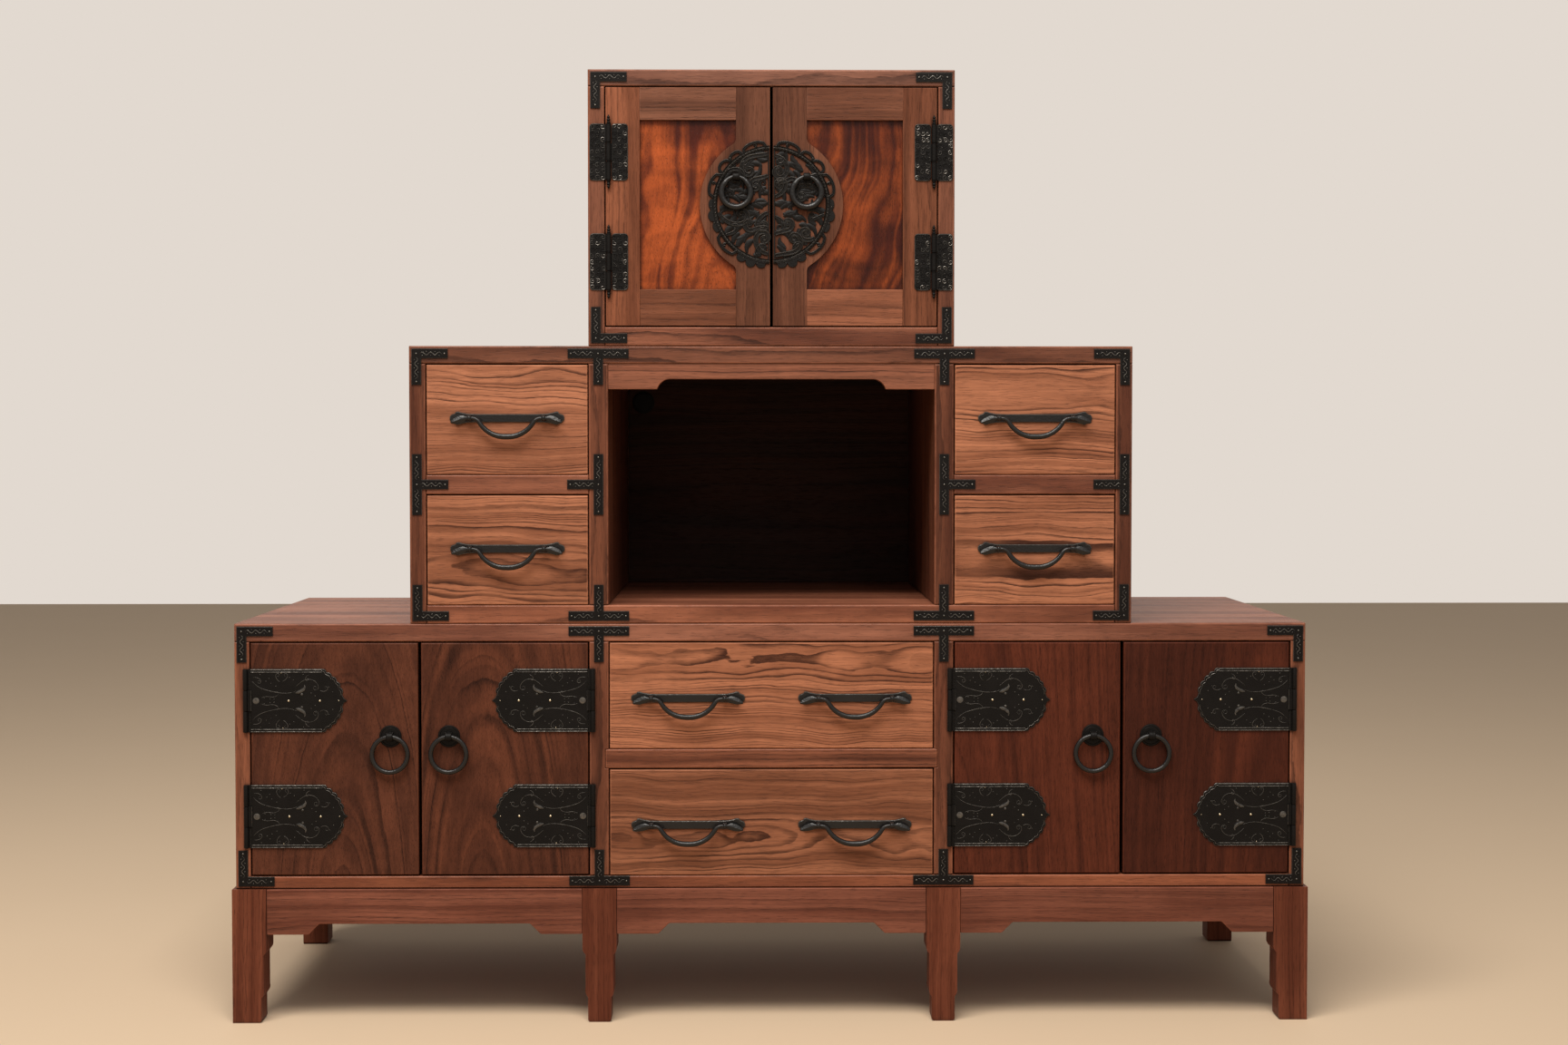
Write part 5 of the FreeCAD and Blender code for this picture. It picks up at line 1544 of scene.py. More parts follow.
@dataclass
class ButtHinge:
    """The butt hinges of the upper doors: leaves covered in small scrolls, beaded finials."""

    leaf_width: float = 16.6
    height: float = 57.8
    corner: float = 3.6
    sheet: float = 0.9
    barrel: float = 2.6
    knuckle_foot: tuple[Place, ...] = ((0, 0.8), (0.3, 1), (1.0, 1), (1.25, 0.9), (1.5, 1))
    axis_inset: float = 3.1
    play: float = 0.4
    axis_out: float = 3.0
    finial: tuple[Place, ...] = (
        (0, 1.2), (0.1, 1.5), (0.9, 2.0), (1.8, 1.5), (2.1, 1.1), (2.6, 1.6), (3.6, 2.05),
        (4.6, 1.6), (5.0, 1.0), (5.4, 1.3), (6.2, 1.65), (7.0, 1.3), (7.5, 0.8), (8.8, 0.3),
    )
    tab_sheet: float = 1.1
    tab_base: float = 0.38
    tab_reach: float = 1.2
    rows: int = 9
    columns: int = 3
    berries: int = 5
    curl: float = 2.3
    margin: float = 0.7
    relief: float = 0.6
    # Drawn at random for each curl and berry: how light it is rubbed, as wear and as painted
    # glints.
    curl_rubs_and_highlights: tuple[float, ...] = (0.0, 0.0, 0.5, 2.8)
    berry_rubs_and_highlights: tuple[float, ...] = (0.0, 0.0, 3.4)
    head_inset: float = 67.1 * MM
    foot_inset: float = 66.0 * MM

    @property
    def levels(self) -> tuple[float, float]:
        """The heights of the two hinges on each door, in metres."""
        head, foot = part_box("upper_top")[0].z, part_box("upper_floor")[1].z
        return head - self.head_inset, foot + self.foot_inset

    def scroll(
        self, work: Ironwork, chance: random.Random, place: Place, hand: int, start: float,
    ) -> None:
        """A small curl that stays on its leaf.

        Args:
            work: What it joins.
            chance: The leaf's own source of chance draws.
            place: The middle of its cell.
            hand: 1 turns it to the left, -1 to the right.
            start: The leaf's left edge.
        """
        heading = chance.uniform(0, 360)
        du, dv = polar(self.curl, heading)
        runs = ((7, 22 * hand, 30 * hand), (5, 36 * hand, 60 * hand))
        places = Vine((place[0] + du, place[1] + dv), heading + 90 * hand, runs).points(0.6)
        left, right = start + self.margin, start + self.leaf_width - self.margin
        top = self.height / 2 - self.margin
        kept = [p for p in places if left < p[0] < right and abs(p[1]) < top]
        work.rub_and_highlight = chance.choice(self.curl_rubs_and_highlights)
        if len(kept) > 4:
            work.ridge(kept, 0.85, self.relief, self.sheet - SINK, (0.6, 0.5))

    def berry(self, work: Ironwork, chance: random.Random, place: Place, start: float) -> None:
        """A small berry near a place of a leaf.

        Args:
            work: What it joins.
            chance: The leaf's own source of chance draws.
            place: The middle of its cell.
            start: The leaf's left edge.
        """
        du, dv = chance.uniform(-2.6, 2.6), chance.uniform(-3.0, 3.0)
        top = self.height / 2 - 1.0
        u = min(max(place[0] + du, start + 1.0), start + self.leaf_width - 1.0)
        v = min(max(place[1] + dv, -top), top)
        work.rub_and_highlight = chance.choice(self.berry_rubs_and_highlights)
        work.dome(u, v, self.sheet - SINK, chance.uniform(0.3, 0.5), self.relief * 0.9, 6)

    def arabesque(self, work: Ironwork, start: float, seed: str) -> None:
        """Covers a leaf with small curls and berries.

        Args:
            work: What it joins.
            start: The leaf's left edge.
            seed: What its chance draws start from.
        """
        chance = random.Random(seed)
        for row in range(self.rows):
            for column in range(self.columns):
                u = start + self.leaf_width * (column + 0.5) / self.columns
                v = -self.height / 2 + self.height * (row + 0.5) / self.rows
                self.scroll(work, chance, (u, v), 1 if (row + column) % 2 else -1, start)
                for _ in range(self.berries):
                    self.berry(work, chance, (u, v), start)
        work.rub_and_highlight = 1.0

    def leaf(self, work: Ironwork, start: float, seed: str) -> None:
        """One leaf.

        Args:
            work: What it joins.
            start: Its left edge.
            seed: What its chance draws start from.
        """
        r, middle = self.corner, start + self.leaf_width / 2
        right, top = middle + self.leaf_width / 2 - r, self.height / 2 - r
        left = start + r
        centres = ((right, -top, -90), (right, top, 0), (left, top, 90), (left, -top, 180))
        outline = [place for u, v, turn in centres for place in arc((u, v), r, turn, turn + 90, 6)]
        work.plate(outline, self.sheet)
        rim = [(middle + (u - middle) * 0.93, v * 0.98) for u, v in outline]
        work.rub_and_highlight = 0.4
        work.ridge(rim + rim[:1], 0.6, 0.4, self.sheet - SINK, (1, 1))
        self.arabesque(work, start, seed)

    def knuckle(self, work: Ironwork, low: float, high: float) -> None:
        """One knuckle about the pin, with a fine groove near each end."""
        foot = [(station, self.barrel * share) for station, share in self.knuckle_foot]
        work.knuckle(0, (low, high), self.axis_out, foot, 18)

    def finials(self, work: Ironwork) -> None:
        """The stacked beads at both ends of the pin.

        Args:
            work: What it joins.
        """
        for way in (1, -1):
            shape = [(station * way, radius) for station, radius in self.finial]
            work.lathe(0, self.height / 2 * way, self.axis_out, shape, "up")

    def tab(self, work: Ironwork, start: float, end: float, low: float, high: float) -> None:
        """The bend of sheet between a leaf and its knuckles."""
        work.strip((start, end), (low, high), self.tab_sheet, base=self.tab_base)

    def fixed_half(self, work: Ironwork, seed: str) -> None:
        """The leaf on the case with its two knuckles, the pin and the finials.

        Args:
            work: What it joins.
            seed: What its chance draws start from.
        """
        third, half, edge = self.height / 6, self.height / 2, -self.barrel - self.play
        self.leaf(work, edge - self.leaf_width, seed)
        for low, high in ((-half, -third), (third, half)):
            self.knuckle(work, low, high)
            self.tab(work, edge - self.tab_reach, 0, low + 1.0, high - 1.0)
        work.pin(0, third * 2, self.axis_out)
        self.finials(work)

    def door_half(self, work: Ironwork, seed: str) -> None:
        """The leaf on the door with the middle knuckle.

        Args:
            work: What it joins.
            seed: What its chance draws start from.
        """
        third, edge = self.height / 6 - self.play, self.barrel + self.play
        self.leaf(work, edge, seed)
        self.knuckle(work, -third, third)
        self.tab(work, 0, edge + self.tab_reach, -third + 0.5, third - 0.5)


@dataclass
class RingPull:
    """A ring on its eye; the rose is a disc with a turned boss."""

    radius: float
    bar: float
    eye_base: float
    belly: float = 1.0
    eye_width: float = 7.0
    eye_wall: float = 1.25
    eye_slack: float = 0.7
    eye_sink: float = 0.3
    eye_reach: float = 1.3
    stem_base: float = 0.6
    stem_inset: float = 0.3
    fit: float = 0.985
    rose_radius: float = 11.3
    rose_sheet: float = 1.45
    rose_shares: tuple[Place, ...] = (
        (0, 1), (0.55, 1), (1, 0.95), (1, 0.84), (0.8, 0.81), (1, 0.78), (1, 0.4), (1.4, 0.34),
    )
    rose_tip: float = 0.5

    @property
    def out(self) -> float:
        """How far the ring's bar stands in front of the wood."""
        return self.eye_base - self.eye_sink + self.bar / 2 + self.eye_slack + self.eye_reach

    def rose(self, work: Ironwork) -> None:
        """The round plate behind the eye, with an incised circle."""
        shape = [(self.rose_sheet * s, self.rose_radius * r) for s, r in self.rose_shares]
        work.lathe(0, 0, 0, shape + [(self.rose_sheet * 1.5, self.rose_tip)], steps=48)

    def eye(self, work: Ironwork) -> None:
        """The eye: a bored barrel across the ring, on a stem.

        Args:
            work: What it joins.
        """
        bore = self.bar / 2 + self.eye_slack
        outer, half = bore + self.eye_wall, self.eye_width / 2
        left = [(-half, bore), (-half, outer * 0.86), (-half + 0.8, outer), (-0.6, outer * 0.98)]
        right = [(-station, radius) for station, radius in reversed(left)]
        work.lathe(0, 0, self.out, left + [(0, outer)] + right + [(0, bore)], "along", 24, True)
        reach, base = half - self.stem_inset, self.stem_base
        for way in (1, -1):
            levels = (bore * 0.95 * way, outer * 0.97 * way)
            work.strip((-reach, reach), levels, self.out - base, base=base)

    def ring(self, work: Ironwork) -> None:
        """The ring itself; it hangs from its eye and may be stouter away from it.

        Args:
            work: What it joins.
        """
        bar, spare, stations = self.bar * self.fit, self.bar * (self.belly - 1), []
        for u, v in arc((0, 0), 1, 90, 450, 73)[:-1]:
            away = min(1.0, max(0.0, (1 - v) * 3.2 - 0.12))
            size, reach = bar + spare * away, self.radius - spare / 2 * away
            stations.append((u * reach, v * reach - self.radius, size, size, 0))
        work.bar(stations, self.out, closed=True, sides=18)

    def hang(self, door: str, x: float, z: float) -> None:
        """Makes the ring of a door as a piece of its own.

        Args:
            door: The door's body.
            x: Where the eye is along the front, in metres.
            z: Its height, in metres.
        """
        work = Ironwork()
        work.stand_at(x, z)
        self.ring(work)
        work.forged()
        work.made(door + "_pull_ring", door + "_ring", Metal.BAR, [door + "_ring"])


@dataclass
class BaseDoors:
    """The four doors of the base case with their straps, roses and rings."""

    strap: StrapHinge = field(default_factory=StrapHinge)
    pull: RingPull = field(default_factory=lambda: RingPull(18.2, 5.0, 1.5))
    ring_inset: float = 28.5 * MM
    ring_rise: float = 23.5 * MM
    looks: dict[str, Look] = field(default_factory=lambda: {
        "base_door_far_left": Look(-0.1, -0.2, (8, 48), 0.24),
        "base_door_near_left": Look(-0.08, 0.1, (-22, 44), 0.2),
        "base_door_near_right": Look(-0.25, 0.1, (-90, 60), 0.1),
        "base_door_far_right": Look(-0.45, 0.0, (70, 50), 0.1),
    })

    def hung(self, door: str) -> tuple[float, float, int]:
        """Where a door is hinged and where it meets its neighbour.

        Args:
            door: The door's node.

        Returns:
            Its hinged edge and its other edge, in metres, and the side that it lies to.
        """
        low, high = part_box(door)
        if "far_left" in door or "near_right" in door:
            return low.x, high.x, 1
        return high.x, low.x, -1

    def build(self) -> None:
        """Makes the four doors."""
        for door, look in self.looks.items():
            edge, meeting, side = self.hung(door)
            wood = Wood.DOOR if "left" in door else Wood.RED_DOOR
            Boards(door, door, wood, Grain.UPRIGHT, looks=(look,)).build()
            work = Ironwork()
            for level in self.strap.levels:
                work.stand_at(edge, level, side)
                self.strap.leaf(work)
            x, z = meeting - self.ring_inset * side, middle_of(door).z + self.ring_rise
            work.stand_at(x, z)
            self.pull.rose(work)
            self.pull.eye(work)
            work.made(door + "_ironwork", door, replaced=[door + "_irons"])
            self.pull.hang(door, x, z)

    def seats(self, work: Ironwork) -> None:
        """Adds the fixed halves of the straps.

        Args:
            work: What it joins.
        """
        for door in self.looks:
            edge, _, side = self.hung(door)
            for level in self.strap.levels:
                work.stand_at(edge, level, side)
                self.strap.fixed_half(work)


@dataclass
class Medallion:
    """Half of the pierced plate: a beaded rim, clouds outside it and rank foliage within."""

    radius: float = 67.4
    rim: float = 57.8
    split: float = 2.0
    bead: float = 0.95
    clouds: tuple[tuple[bool, float, tuple[float, ...]], ...] = (
        (True, 25, (0.9,)), (True, 29, (0.85, 1.0)), (True, 25, (1.0,)),
        (False, 35, (0.6, 0.8, 0.6)), (True, 26, (1.0,)), (False, 31, (0.85, 1.0, 0.75)),
    )
    cloud_gap: float = 1.2
    plate_sheet: float = 1.3
    open_edge: Place = (3.1, 1.6)
    open_curl: Place = (1.8, 1.4)
    relief: float = 1.75
    leaf_step: float = 8.8
    leaf_row: float = 0.86
    leaf_columns: int = 8
    leaf_bend: float = 95.0
    leaf_lengths: Place = (14, 20)
    leaf_widths: Place = (5.0, 6.8)
    leaf_swells: tuple[float, ...] = (0.4, 0.8, 1.0, 0.9, 0.7, 0.5, 0.25)
    keel: float = 0.8
    beads: int = 52
    broad_swirls: int = 7
    swirl_widths: Place = (5.6, 4.0)
    swirls: tuple[Vine, ...] = (
        Vine((-3, 52), 198, ((20, -2, 2), (24, 4, 8), (28, 12, 26))),
        Vine((-50, 27), 66, ((20, -3, -5), (18, -8, -14), (20, -18, -40))),
        Vine((-3, 30), 212, ((15, -4, 2), (16, 8, 14), (16, 20, 42))),
        Vine((-54, -8), -60, ((26, 2, 3), (22, 5, 10), (26, 13, 30))),
        Vine((-3, -50), 172, ((24, -3, -5), (22, -7, -12), (22, -16, -34))),
        Vine((-3, -8), 196, ((18, 2, 6), (16, 10, 15), (16, 20, 40))),
        Vine((-3, -24), 158, ((16, 4, 2), (17, -8, -13), (16, -20, -42))),
        Vine((-14, -53), 122, ((14, -6, -8), (12, -14, -28))),
        Vine((-24, 49), -62, ((12, -4, -12), (14, -20, -40))),
        Vine((-3, 12), 168, ((15, -3, -8), (12, -14, -32))),
        Vine((-47, -31), 18, ((14, -2, 8), (14, 14, 36))),
        Vine((-54, 10), 15, ((12, 4, -4), (10, -14, -30), (8, -40, -50))),
    )

    def cloud(
        self, angles: Place, low: float, high: float, billows: Sequence[float],
    ) -> list[Place]:
        """The outer edge of a cloud between two angles; each billow has its own height.

        Args:
            angles: Where it starts and ends, in degrees.
            low: The radius of its foot.
            high: The radius that a full billow reaches.
            billows: How full each billow is.

        Returns:
            The places along its edge.
        """
        start, end = angles
        places, count = [], len(billows)
        for at in range(10 * count + 1):
            share = at / 10
            height = billows[min(int(share), count - 1)]
            billow = 0.4 * (0 < at < 10 * count) + 0.6 * abs(math.sin(math.pi * share)) ** 0.6
            reach = low + (high - low) * billow * height
            places.append(polar(reach, start + (end - start) * share / count))
        return places

    def fringe(self, work: Ironwork) -> None:
        """Clouds round the rim: open ones with a curl inside, and flat ones with nails.

        Args:
            work: What it joins.
        """
        sheet, start = self.plate_sheet, 95.0
        for open_work, turn, billows in self.clouds:
            end, middle = start + turn - self.cloud_gap, start + (turn - self.cloud_gap) / 2
            if open_work:
                edge = self.cloud((start, end), self.rim + 0.8, self.radius - 1.2, billows)
                work.ridge(edge, *self.open_edge, 0.0, (1, 1), CHANNEL_CREST)
                curl = Vine(polar(self.rim + 2.0, middle), middle - 70, ((4, 4, 22), (6, 40, 60)))
                work.ridge(curl.points(0.7), *self.open_curl, 0.0)
            else:
                edge = self.cloud((start, end), self.rim + 1.4, self.radius, billows)
                work.plate(edge + arc((0, 0), self.rim + 0.4, end, start, 9), sheet, 0.4)
                for angle in (middle - turn / 4, middle + turn / 5):
                    work.dome(*polar(self.rim + 3.6, angle), sheet, 0.9, 0.6)
            start += turn

    def inside(self, u: float, v: float, gap: float, inset: float) -> bool:
        """Whether a place lies clear of the split and within the rim."""
        return u < -self.split - gap and math.hypot(u, v) < self.rim - inset

    def leaf(
        self, work: Ironwork, place: Place, heading: float, length: float, width: float,
    ) -> None:
        """A keeled leaf that curls to one side.

        Args:
            work: What it joins.
            place: Where it starts.
            heading: Which way it starts, in degrees.
            length: Its length.
            width: Its greatest width.
        """
        (u, v), steps = place, len(self.leaf_swells) - 1
        turn, stations = math.radians(heading), []
        for swell in self.leaf_swells:
            sheet = self.relief * (0.6 + swell * 0.8) / 1.6
            stations.append((u, v, width * swell, sheet, self.keel))
            u += length / steps * math.cos(turn)
            v += length / steps * math.sin(turn)
            turn += math.radians(self.leaf_bend) / steps
        kept = [station for station in stations if self.inside(station[0], station[1], 1.2, 2.6)]
        if len(kept) > 3:
            work.bar(kept, self.relief * 0.3, sides=8)

    def foliage(self, work: Ironwork, seed: str) -> None:
        """Small leaves that fill the ground between the scrolls, laid in drifts.

        Args:
            work: What it joins.
            seed: What its chance draws start from.
        """
        chance = random.Random(seed)
        rise = self.leaf_step * self.leaf_row
        for row in range(int(2 * self.rim / rise) + 1):
            v = -self.rim + row * self.leaf_step * self.leaf_row
            for column in range(self.leaf_columns):
                u = -self.split - 3 - (column + (row % 2) / 2) * self.leaf_step
                if math.hypot(u, v) > self.rim - 3:
                    continue
                drift = 165 + 40 * math.sin(v / 10 + u / 16 + chance.uniform(-0.4, 0.4))
                drift += 180 * ((row + column) % 3 == 0)
                place = (u + chance.uniform(-1.5, 1.5), v + chance.uniform(-1.5, 1.5))
                length = chance.uniform(*self.leaf_lengths)
                width = chance.uniform(*self.leaf_widths)
                self.leaf(work, place, drift, length, width)

    def half(self, work: Ironwork, seed: str, flip: int) -> None:
        """Half of the plate, drawn about its middle.

        Args:
            work: What it joins.
            seed: What its chance draws start from.
            flip: 1, or -1 to turn the scrolls over.
        """
        edge = math.degrees(math.asin(self.split / self.rim))
        start, end = 90 + edge, 270 - edge
        for offset, width, height in ((0.0, 4.2, 0.9), (-1.9, 1.1, 1.7), (1.9, 1.1, 1.7)):
            line = arc((0, 0), self.rim + offset, start, end, 61)
            work.ridge(line, width, height, 0.0, (1, 1))
        for at in range(self.beads):
            angle = start + (end - start) * (at + 0.5) / self.beads
            work.dome(*polar(self.rim, angle), 0.8, self.bead, 0.9, 8)
        self.fringe(work)
        for at, swirl in enumerate(self.swirls):
            kept = [p for p in flipped(swirl.points(1.0), flip) if self.inside(*p, 1.0, 2)]
            if len(kept) > 3:
                width = self.swirl_widths[at >= self.broad_swirls]
                height = self.relief - 0.03 * (at % 5)
                work.ridge(kept, width, height, 0.0, (0.8, 0.4), CHANNEL_CREST)
        self.foliage(work, seed)
        line = [(-self.split - 0.9, v) for v in range(-56, 57, 8)]
        work.ridge(line, 1.7, 1.4, 0.0, (1, 1))


@dataclass
class UpperDoors:
    """The two framed doors of the top case with their butts, medallion halves and rings."""

    butt: ButtHinge = field(default_factory=ButtHinge)
    medallion: Medallion = field(default_factory=Medallion)
    pull: RingPull = field(default_factory=lambda: RingPull(16.0, 4.0, 2.0, 1.6))
    sides: tuple[tuple[str, int], ...] = (("upper_door_left", 1), ("upper_door_right", -1))
    ring_offset: float = 36 * MM
    ring_rise: float = 28 * MM
    frame_looks: dict[str, tuple[Look, ...]] = field(default_factory=lambda: {
        "upper_door_left": (Look(-0.1, 0.6), Look(-0.45, 0.2), Look(-0.25, -0.6), Look(-0.7, -0.2)),
        "upper_door_right": (Look(-0.6, -0.2), Look(0.15, 0.1), Look(-0.1, -0.2), Look(-0.35, 0.5)),
    })
    panel_looks: dict[str, Look] = field(default_factory=lambda: {
        "upper_door_left": Look(-0.45, 0.0, (30, 30), 0.3),
        "upper_door_right": Look(-0.9, 0.1, (-60, 34), -0.2),
    })

    def hinge_places(self, door: str, side: int) -> list[Place]:
        """Where the pins of a door's hinges stand.

        Args:
            door: The door's body.
            side: 1 for a door that is hinged on its left, -1 for one hinged on its right.

        Returns:
            The place along the front and the height of each hinge, in metres.
        """
        low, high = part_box(door + "_frame")
        axis = (low.x if side == 1 else high.x) + self.butt.axis_inset * MM * side
        return [(axis, height) for height in self.butt.levels]

    def build(self) -> None:
        """Makes both doors."""
        level = middle_of("upper_door_left_panel").z
        for door, side in self.sides:
            UprightAndRails(door + "_frame", door, Wood.FRAME, looks=self.frame_looks[door]).build()
            panel_look = (self.panel_looks[door],)
            Boards(door + "_panel", door, Wood.PANEL, Grain.UPRIGHT, looks=panel_look).build()
            work = Ironwork()
            for at, (x, z) in enumerate(self.hinge_places(door, side)):
                work.stand_at(x, z, side)
                self.butt.door_half(work, "%s %d" % (door, at))
            x, z = -self.ring_offset * side, level + self.ring_rise
            work.stand_at(x, z)
            self.pull.eye(work)
            work.made(door + "_ironwork", door, replaced=[door + "_irons"])
            disc = Ironwork()
            disc.stand_at(0.0, level, side)
            self.medallion.half(disc, door, side)
            disc.made(door + "_medallion", door, Metal.CAST)
            self.pull.hang(door, x, z)

    def seats(self, work: Ironwork) -> None:
        """Adds the fixed halves of the butts.

        Args:
            work: What it joins.
        """
        for door, side in self.sides:
            for at, (x, z) in enumerate(self.hinge_places(door, side)):
                work.stand_at(x, z, side)
                self.butt.fixed_half(work, "case %s %d" % (door, at))


class UprightAndRails(Boards):
    """A door frame, whose stiles have upright grain and whose rails have level grain."""

    def sawn(self, made: bmesh.types.BMesh, look: Look) -> tuple[Grain | None, Look]:
        """The grain that follows from the member's shape, and its look."""
        wide, tall = (max(v) - min(v) for v in zip(*((v.co.x, v.co.z) for v in made.verts)))
        return (Grain.UPRIGHT if tall > wide else Grain.ACROSS), look


@dataclass
class DrawerPull:
    """A drawer's pull: fishtailed plate, two beaded eyes and a forged bail with leaf ends."""

    length: float = 116.6
    waist: float = 8.3
    end: float = 13.4
    shoulder: float = 29.0
    sheet: float = 2.0
    span: float = 75.5
    reach: float = 8.2
    drop: float = 18.8
    grip: float = 5.9
    neck: float = 3.4
    flat: float = 2.0
    neck_curve: float = 9.0
    eye_width: float = 4.4
    eye_wall: float = 0.95
    play: float = 0.35
    leaf: float = 16.3
    leaf_height: float = 7.4
    leaf_sheet: float = 2.8
    leaf_drop: float = 4.5
    leaf_shares: tuple[tuple[float, float, float], ...] = (
        (0.06, 0.62, 0.2), (0.16, 0.84, 0.6), (0.32, 1.0, 0.9), (0.5, 0.97, 1.0), (0.68, 0.82, 1.0),
        (0.84, 0.6, 1.0), (0.95, 0.36, 1.0), (1.0, 0.12, 1.0),
    )
    tail: tuple[Place, ...] = (
        (12.0, 0.84), (8.6, 1.0), (6.2, 0.97), (5.2, 0.72), (3.4, 0.62), (1.2, 0.5), (0.0, 0.2),
    )
    flare: Place = (18.0, 1.08)
    ease: float = 0.7
    eye_shares: tuple[Place, ...] = ((1.0, 0.86), (0.75, 0.97), (0.42, 0.86), (0.3, 0.94))
    stem_share: float = 0.8
    stem_sink: float = 0.4

    def plate(self, work: Ironwork) -> None:
        """The back plate with its stepped fishtails.

        Args:
            work: What it joins.
        """
        half, waist = self.length / 2, self.waist / 2
        right = [(half - self.shoulder, waist), (half - self.flare[0], waist * self.flare[1])]
        right += [(half - inset, self.end / 2 * share) for inset, share in self.tail]
        upper = list(reversed(right)) + [(-u, v) for u, v in right]
        work.plate(upper + [(-u, -v) for u, v in upper], self.sheet, self.ease)

    def eyes(self, work: Ironwork) -> None:
        """The two eyes that carry the bail, each turned with three beads.

        Args:
            work: What it joins.
        """
        bore = self.neck / 2 + self.play
        outer, half = bore + self.eye_wall, self.eye_width / 2
        left = [(-half * station, outer * radius) for station, radius in self.eye_shares]
        right = [(-station, radius) for station, radius in reversed(left)]
        shape = [(-half, bore)] + left + [(0, outer)] + right + [(half, bore), (0, bore)]
        for way in (-1, 1):
            middle = self.span / 2 * way
            work.lathe(middle, 0, self.reach, shape, "along", 20, True)
            stem = (middle - half * self.stem_share, middle + half * self.stem_share)
            for edge in (bore, -outer * 0.95):
                base = self.sheet - self.stem_sink
                work.strip(stem, (edge, edge + outer - bore), self.reach - base, base=base)

    def bend(self) -> list[Station]:
        """Half of the bail's grip, from its middle to its eye.

        Returns:
            The stations, from left to right.
        """
        start = self.span / 2 - self.eye_width / 2 - self.play
        turn = 2 * math.atan2(self.drop, start - self.flat)
        radius = (start - self.flat) / math.sin(turn) - self.neck_curve
        thinning, found = (self.neck - self.grip) * 0.5, []
        for share in (at / 12 for at in range(13)):
            angle, size = turn * share, self.grip + thinning * share
            u, v = self.flat + radius * math.sin(angle), -self.drop + radius * (1 - math.cos(angle))
            found.append((u, v, size, size, 0.0))
        for share in (1 - at / 8 for at in range(1, 9)):
            angle, size = turn * share, self.neck - thinning * share
            u = start - self.neck_curve * math.sin(angle)
            v = self.neck_curve * (math.cos(angle) - 1)
            found.append((u, v, size, size, 0.0))
        return found

    def bail(self, work: Ironwork) -> None:
        """The bail, alike on both sides of its middle, with a leaf at each end.

        Args:
            work: What it joins.
        """
        end = self.span / 2 + self.eye_width / 2 + self.play
        right = self.bend() + [(end, 0.0, self.neck, self.neck, 0.0)]
        for share, height, keel in self.leaf_shares:
            place = (end + self.leaf * share, -self.leaf_drop * share ** 1.3)
            thick = self.leaf_sheet * (0.6 + height * 0.4)
            right.append((*place, self.leaf_height * height, thick, keel))
        work.bar([(-s[0], *s[1:]) for s in reversed(right)] + right, self.reach, sides=16)


@dataclass
class Drawers:
    """The four small drawers and the two big ones, with their pulls."""

    pull: DrawerPull = field(default_factory=DrawerPull)
    big_offset: float = 85.7 * MM
    looks: dict[str, Look] = field(default_factory=lambda: {
        "small_drawer_left_upper": Look(0.1, 0.0, (62, 26)),
        "small_drawer_left_lower": Look(0.0, 0.1, (-20, 30)),
        "small_drawer_right_upper": Look(0.05, 0.1, (30, 24)),
        "small_drawer_right_lower": Look(0.05, 0.1, (-10, 30)),
        "big_drawer_upper": Look(0.05, 0.2, (40, 30)),
        "big_drawer_lower": Look(-0.4, 0.2, (-15, 34)),
    })

    def build(self) -> None:
        """Makes the drawers, their plates and their bails."""
        for drawer, look in self.looks.items():
            FrontAndBox(drawer, drawer, Wood.DRAWER, front_look=look).build()
            places, plates = {"_bail": middle_of(drawer).x}, drawer + "_pull"
            if drawer.startswith("big"):
                places = {"_left_bail": -self.big_offset, "_right_bail": self.big_offset}
                plates = drawer + "_pulls"
            level = middle_of(plates).z
            work = Ironwork()
            for suffix, x in places.items():
                work.stand_at(x, level)
                self.pull.plate(work)
                self.pull.eyes(work)
                bail = Ironwork()
                bail.stand_at(x, level)
                self.pull.bail(bail)
                bail.forged(0.1)
                bail.made(drawer + suffix + "_grip", drawer + suffix, Metal.BAR, [drawer + suffix])
            work.made(plates + "_plate", drawer, Metal.BAR, [plates])


@dataclass
class FrontAndBox(Boards):
    """A drawer: a figured front on a plainer box."""

    front_look: Look = Look()
    box_look: Look = Look(-0.1, 0.0, (60, 40))

    def sawn(self, made: bmesh.types.BMesh, look: Look) -> tuple[Grain | None, Look]:
        """Level grain and its own look for the front, a plain look for the box."""
        is_front = min(v.co.y for v in made.verts) < FRONT + 2 * MM
        return (Grain.ACROSS, self.front_look) if is_front else (None, self.box_look)


@dataclass
class Lamp:
    """A soft oblong lamp that faces the cabinet; its power is in watts."""

    name: str
    place: Vector
    size: Place
    power: float
    colour: Colour

    def hang(self) -> None:
        """Makes the lamp."""
        data = bpy.data.lights.new(self.name, "AREA")
        data.shape = "RECTANGLE"
        data.size, data.size_y = self.size
        data.energy = self.power
        data.color = self.colour[:3]
        lamp = linked(self.name, data)
        lamp.location = self.place
        lamp.rotation_euler = (CABINET_MIDDLE - self.place).to_track_quat("-Z", "Y").to_euler()


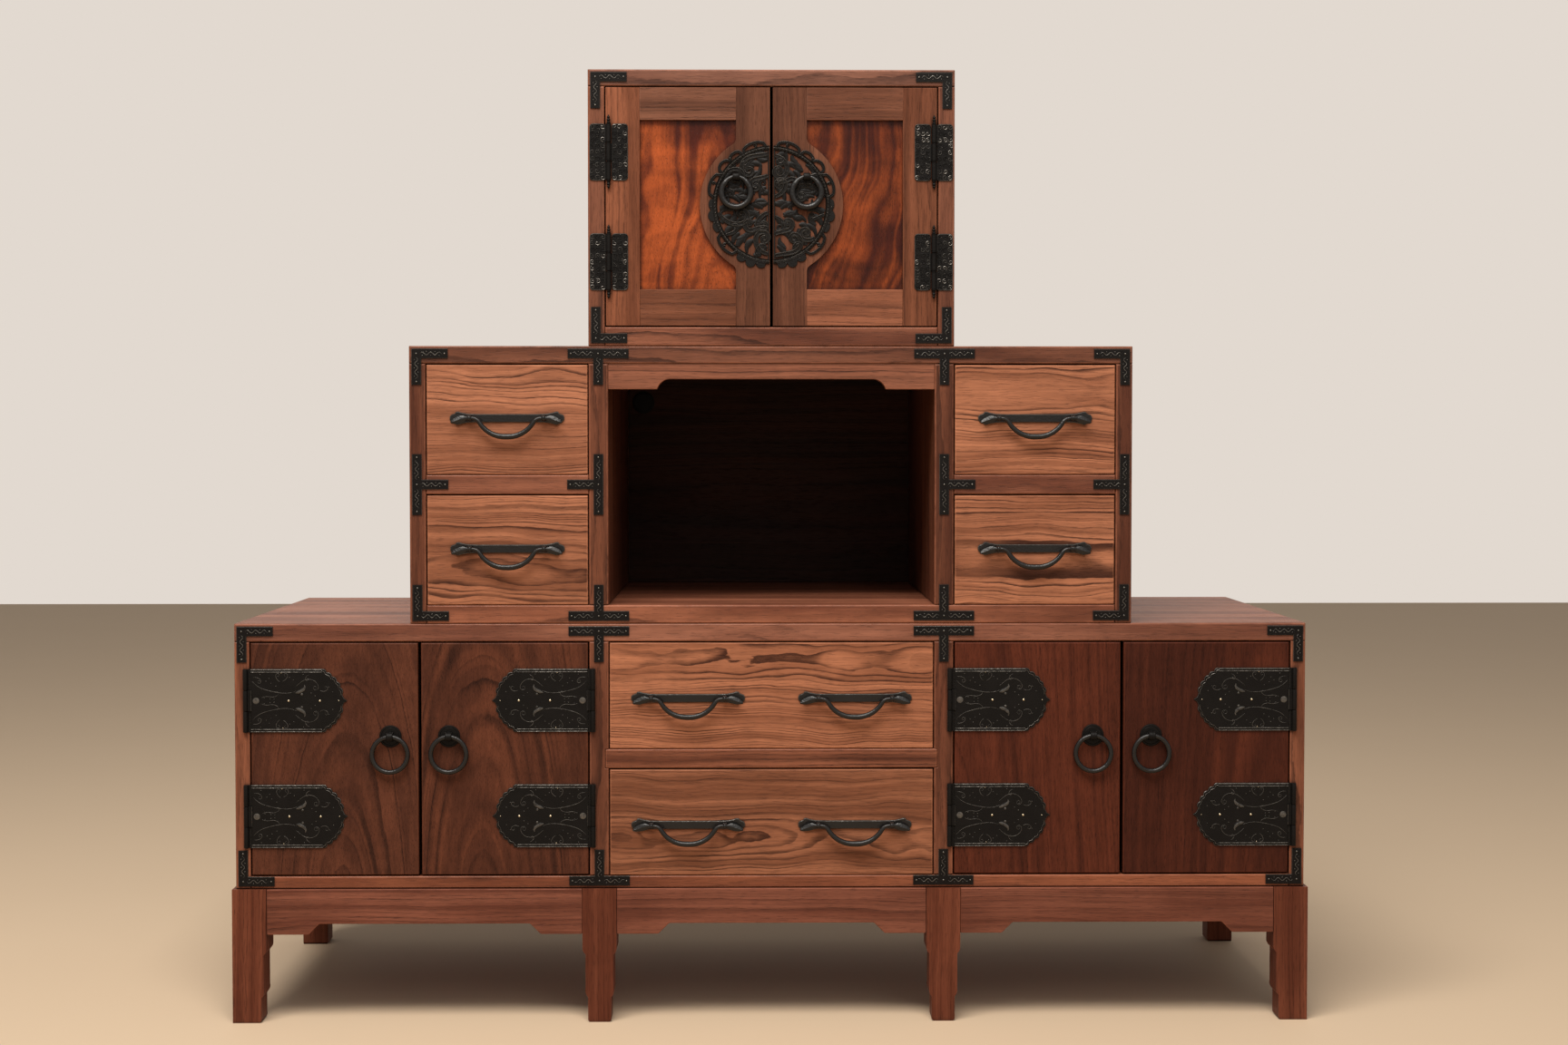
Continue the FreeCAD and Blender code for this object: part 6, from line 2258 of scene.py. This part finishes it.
@dataclass
class Studio:
    """The pale floor, the soft lamps and the camera at the photograph's place."""

    floor_colour: Colour = srgb(214, 190, 162)
    floor_shade: Colour = srgb(196, 170, 142)
    floor_clouding: float = 0.12
    floor_roughness: float = 0.7
    floor_shine: float = 0.2
    backdrop: Colour = srgb(226, 217, 208)
    daylight: Colour = srgb(255, 250, 244)
    ambient: float = 0.2
    floor_size: float = 12.0
    lamps: tuple[Lamp, ...] = (
        Lamp("key_lamp", Vector((-0.5, -1.75, 3.1)), (2.4, 1.4), 136.0, srgb(255, 250, 242)),
        Lamp("front_lamp", Vector((0.5, -3.4, 2.6)), (2.2, 1.6), 18.0, srgb(255, 252, 248)),
    )
    camera_place: Vector = Vector((-0.0210, -2.5576, 0.5961))
    camera_turn: tuple[float, float, float] = (math.pi / 2 - 0.0345, 0.0, -0.0143)
    lens: float = 52.99

    def floor(self) -> None:
        """A large pale sheet under the stand, with a faint matt unevenness."""
        half = self.floor_size / 2
        mesh = bpy.data.meshes.new("studio_floor")
        corners = [(-half, -half, 0), (half, -half, 0), (half, half, 0), (-half, half, 0)]
        mesh.from_pydata(corners, [], [(0, 1, 2, 3)])
        floor = linked("studio_floor", mesh)
        graph, shader, material = Finish().start("pale_floor")
        where = graph.node("ShaderNodeTexCoord").outputs["Object"]
        cloud = graph.noise(graph.vector("SCALE", where, 3.0), 3)
        share = graph.times(cloud, self.floor_clouding)
        colour = graph.mix(share, self.floor_colour, self.floor_shade)
        graph.fill(shader, Base_Color=colour, Roughness=self.floor_roughness)
        graph.fill(shader, Specular_IOR_Level=self.floor_shine)
        mesh.materials.append(material)
        floor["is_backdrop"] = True

    def world(self) -> None:
        """A dim soft surround that looks pale to the camera and in reflections."""
        world = bpy.data.worlds.new("studio")
        bpy.context.scene.world = world
        world.use_nodes = True
        world.node_tree.nodes.clear()
        graph = Graph(world.node_tree)
        rays = graph.node("ShaderNodeLightPath").outputs
        seen = graph.math("MAXIMUM", rays["Is Camera Ray"], rays["Is Glossy Ray"])
        seen = graph.math("MAXIMUM", seen, rays["Is Transmission Ray"])
        dim, pale = graph.node("ShaderNodeBackground"), graph.node("ShaderNodeBackground")
        graph.fill(dim, Color=self.daylight, Strength=self.ambient)
        graph.fill(pale, Color=self.backdrop)
        either = graph.node("ShaderNodeMixShader")
        for socket, value in zip(either.inputs, (seen, dim.outputs[0], pale.outputs[0])):
            graph.feed(socket, value)
        graph.fill(graph.node("ShaderNodeOutputWorld"), Surface=either.outputs[0])

    def camera(self) -> None:
        """The camera, level with the middle drawers."""
        data = bpy.data.cameras.new("photo_camera")
        data.lens = self.lens
        camera = linked("photo_camera", data)
        camera.location = self.camera_place
        camera.rotation_euler = self.camera_turn
        bpy.context.scene.camera = camera

    def build(self) -> None:
        """Sets the whole studio."""
        bpy.context.scene.view_settings.view_transform = "Standard"
        self.floor()
        self.world()
        for lamp in self.lamps:
            lamp.hang()
        self.camera()


@dataclass
class HingeSeats:
    """The fixed halves of all the hinges, as one piece of the case."""

    doors: BaseDoors
    framed: UpperDoors

    def build(self) -> None:
        """Makes the piece."""
        work = Ironwork()
        self.doors.seats(work)
        self.framed.seats(work)
        work.made("hinge_seats", CARCASS, replaced=["hinge_frame_leaves"])


def write_sizes() -> None:
    """Gathers the CAD model's box and the dressed model's box into a table that is not kept."""
    boxes = {"cad": CAD_BOX, "visual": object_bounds()}
    {name: [list(corner) for corner in box] for name, box in boxes.items()}


def main() -> None:
    """Dresses the cabinet piece by piece and sets the studio round it."""
    logging.basicConfig(level=logging.INFO, format="%(name)s: %(message)s")
    doors, framed = BaseDoors(), UpperDoors()
    steps: tuple[tuple[str, Callable[[], None]], ...] = (
        ("stand", Stand().build),
        ("cases", Cases().build),
        ("corner and joint plates", CornerPlates().build),
        ("base doors", doors.build),
        ("upper doors", framed.build),
        ("drawers", Drawers().build),
        ("studio", Studio().build),
        ("hinge seats", HingeSeats(doors, framed).build),
    )
    for name, build in steps:
        build()
        log.info("%s dressed", name)
    write_sizes()


if __name__ == "__main__":
    main()
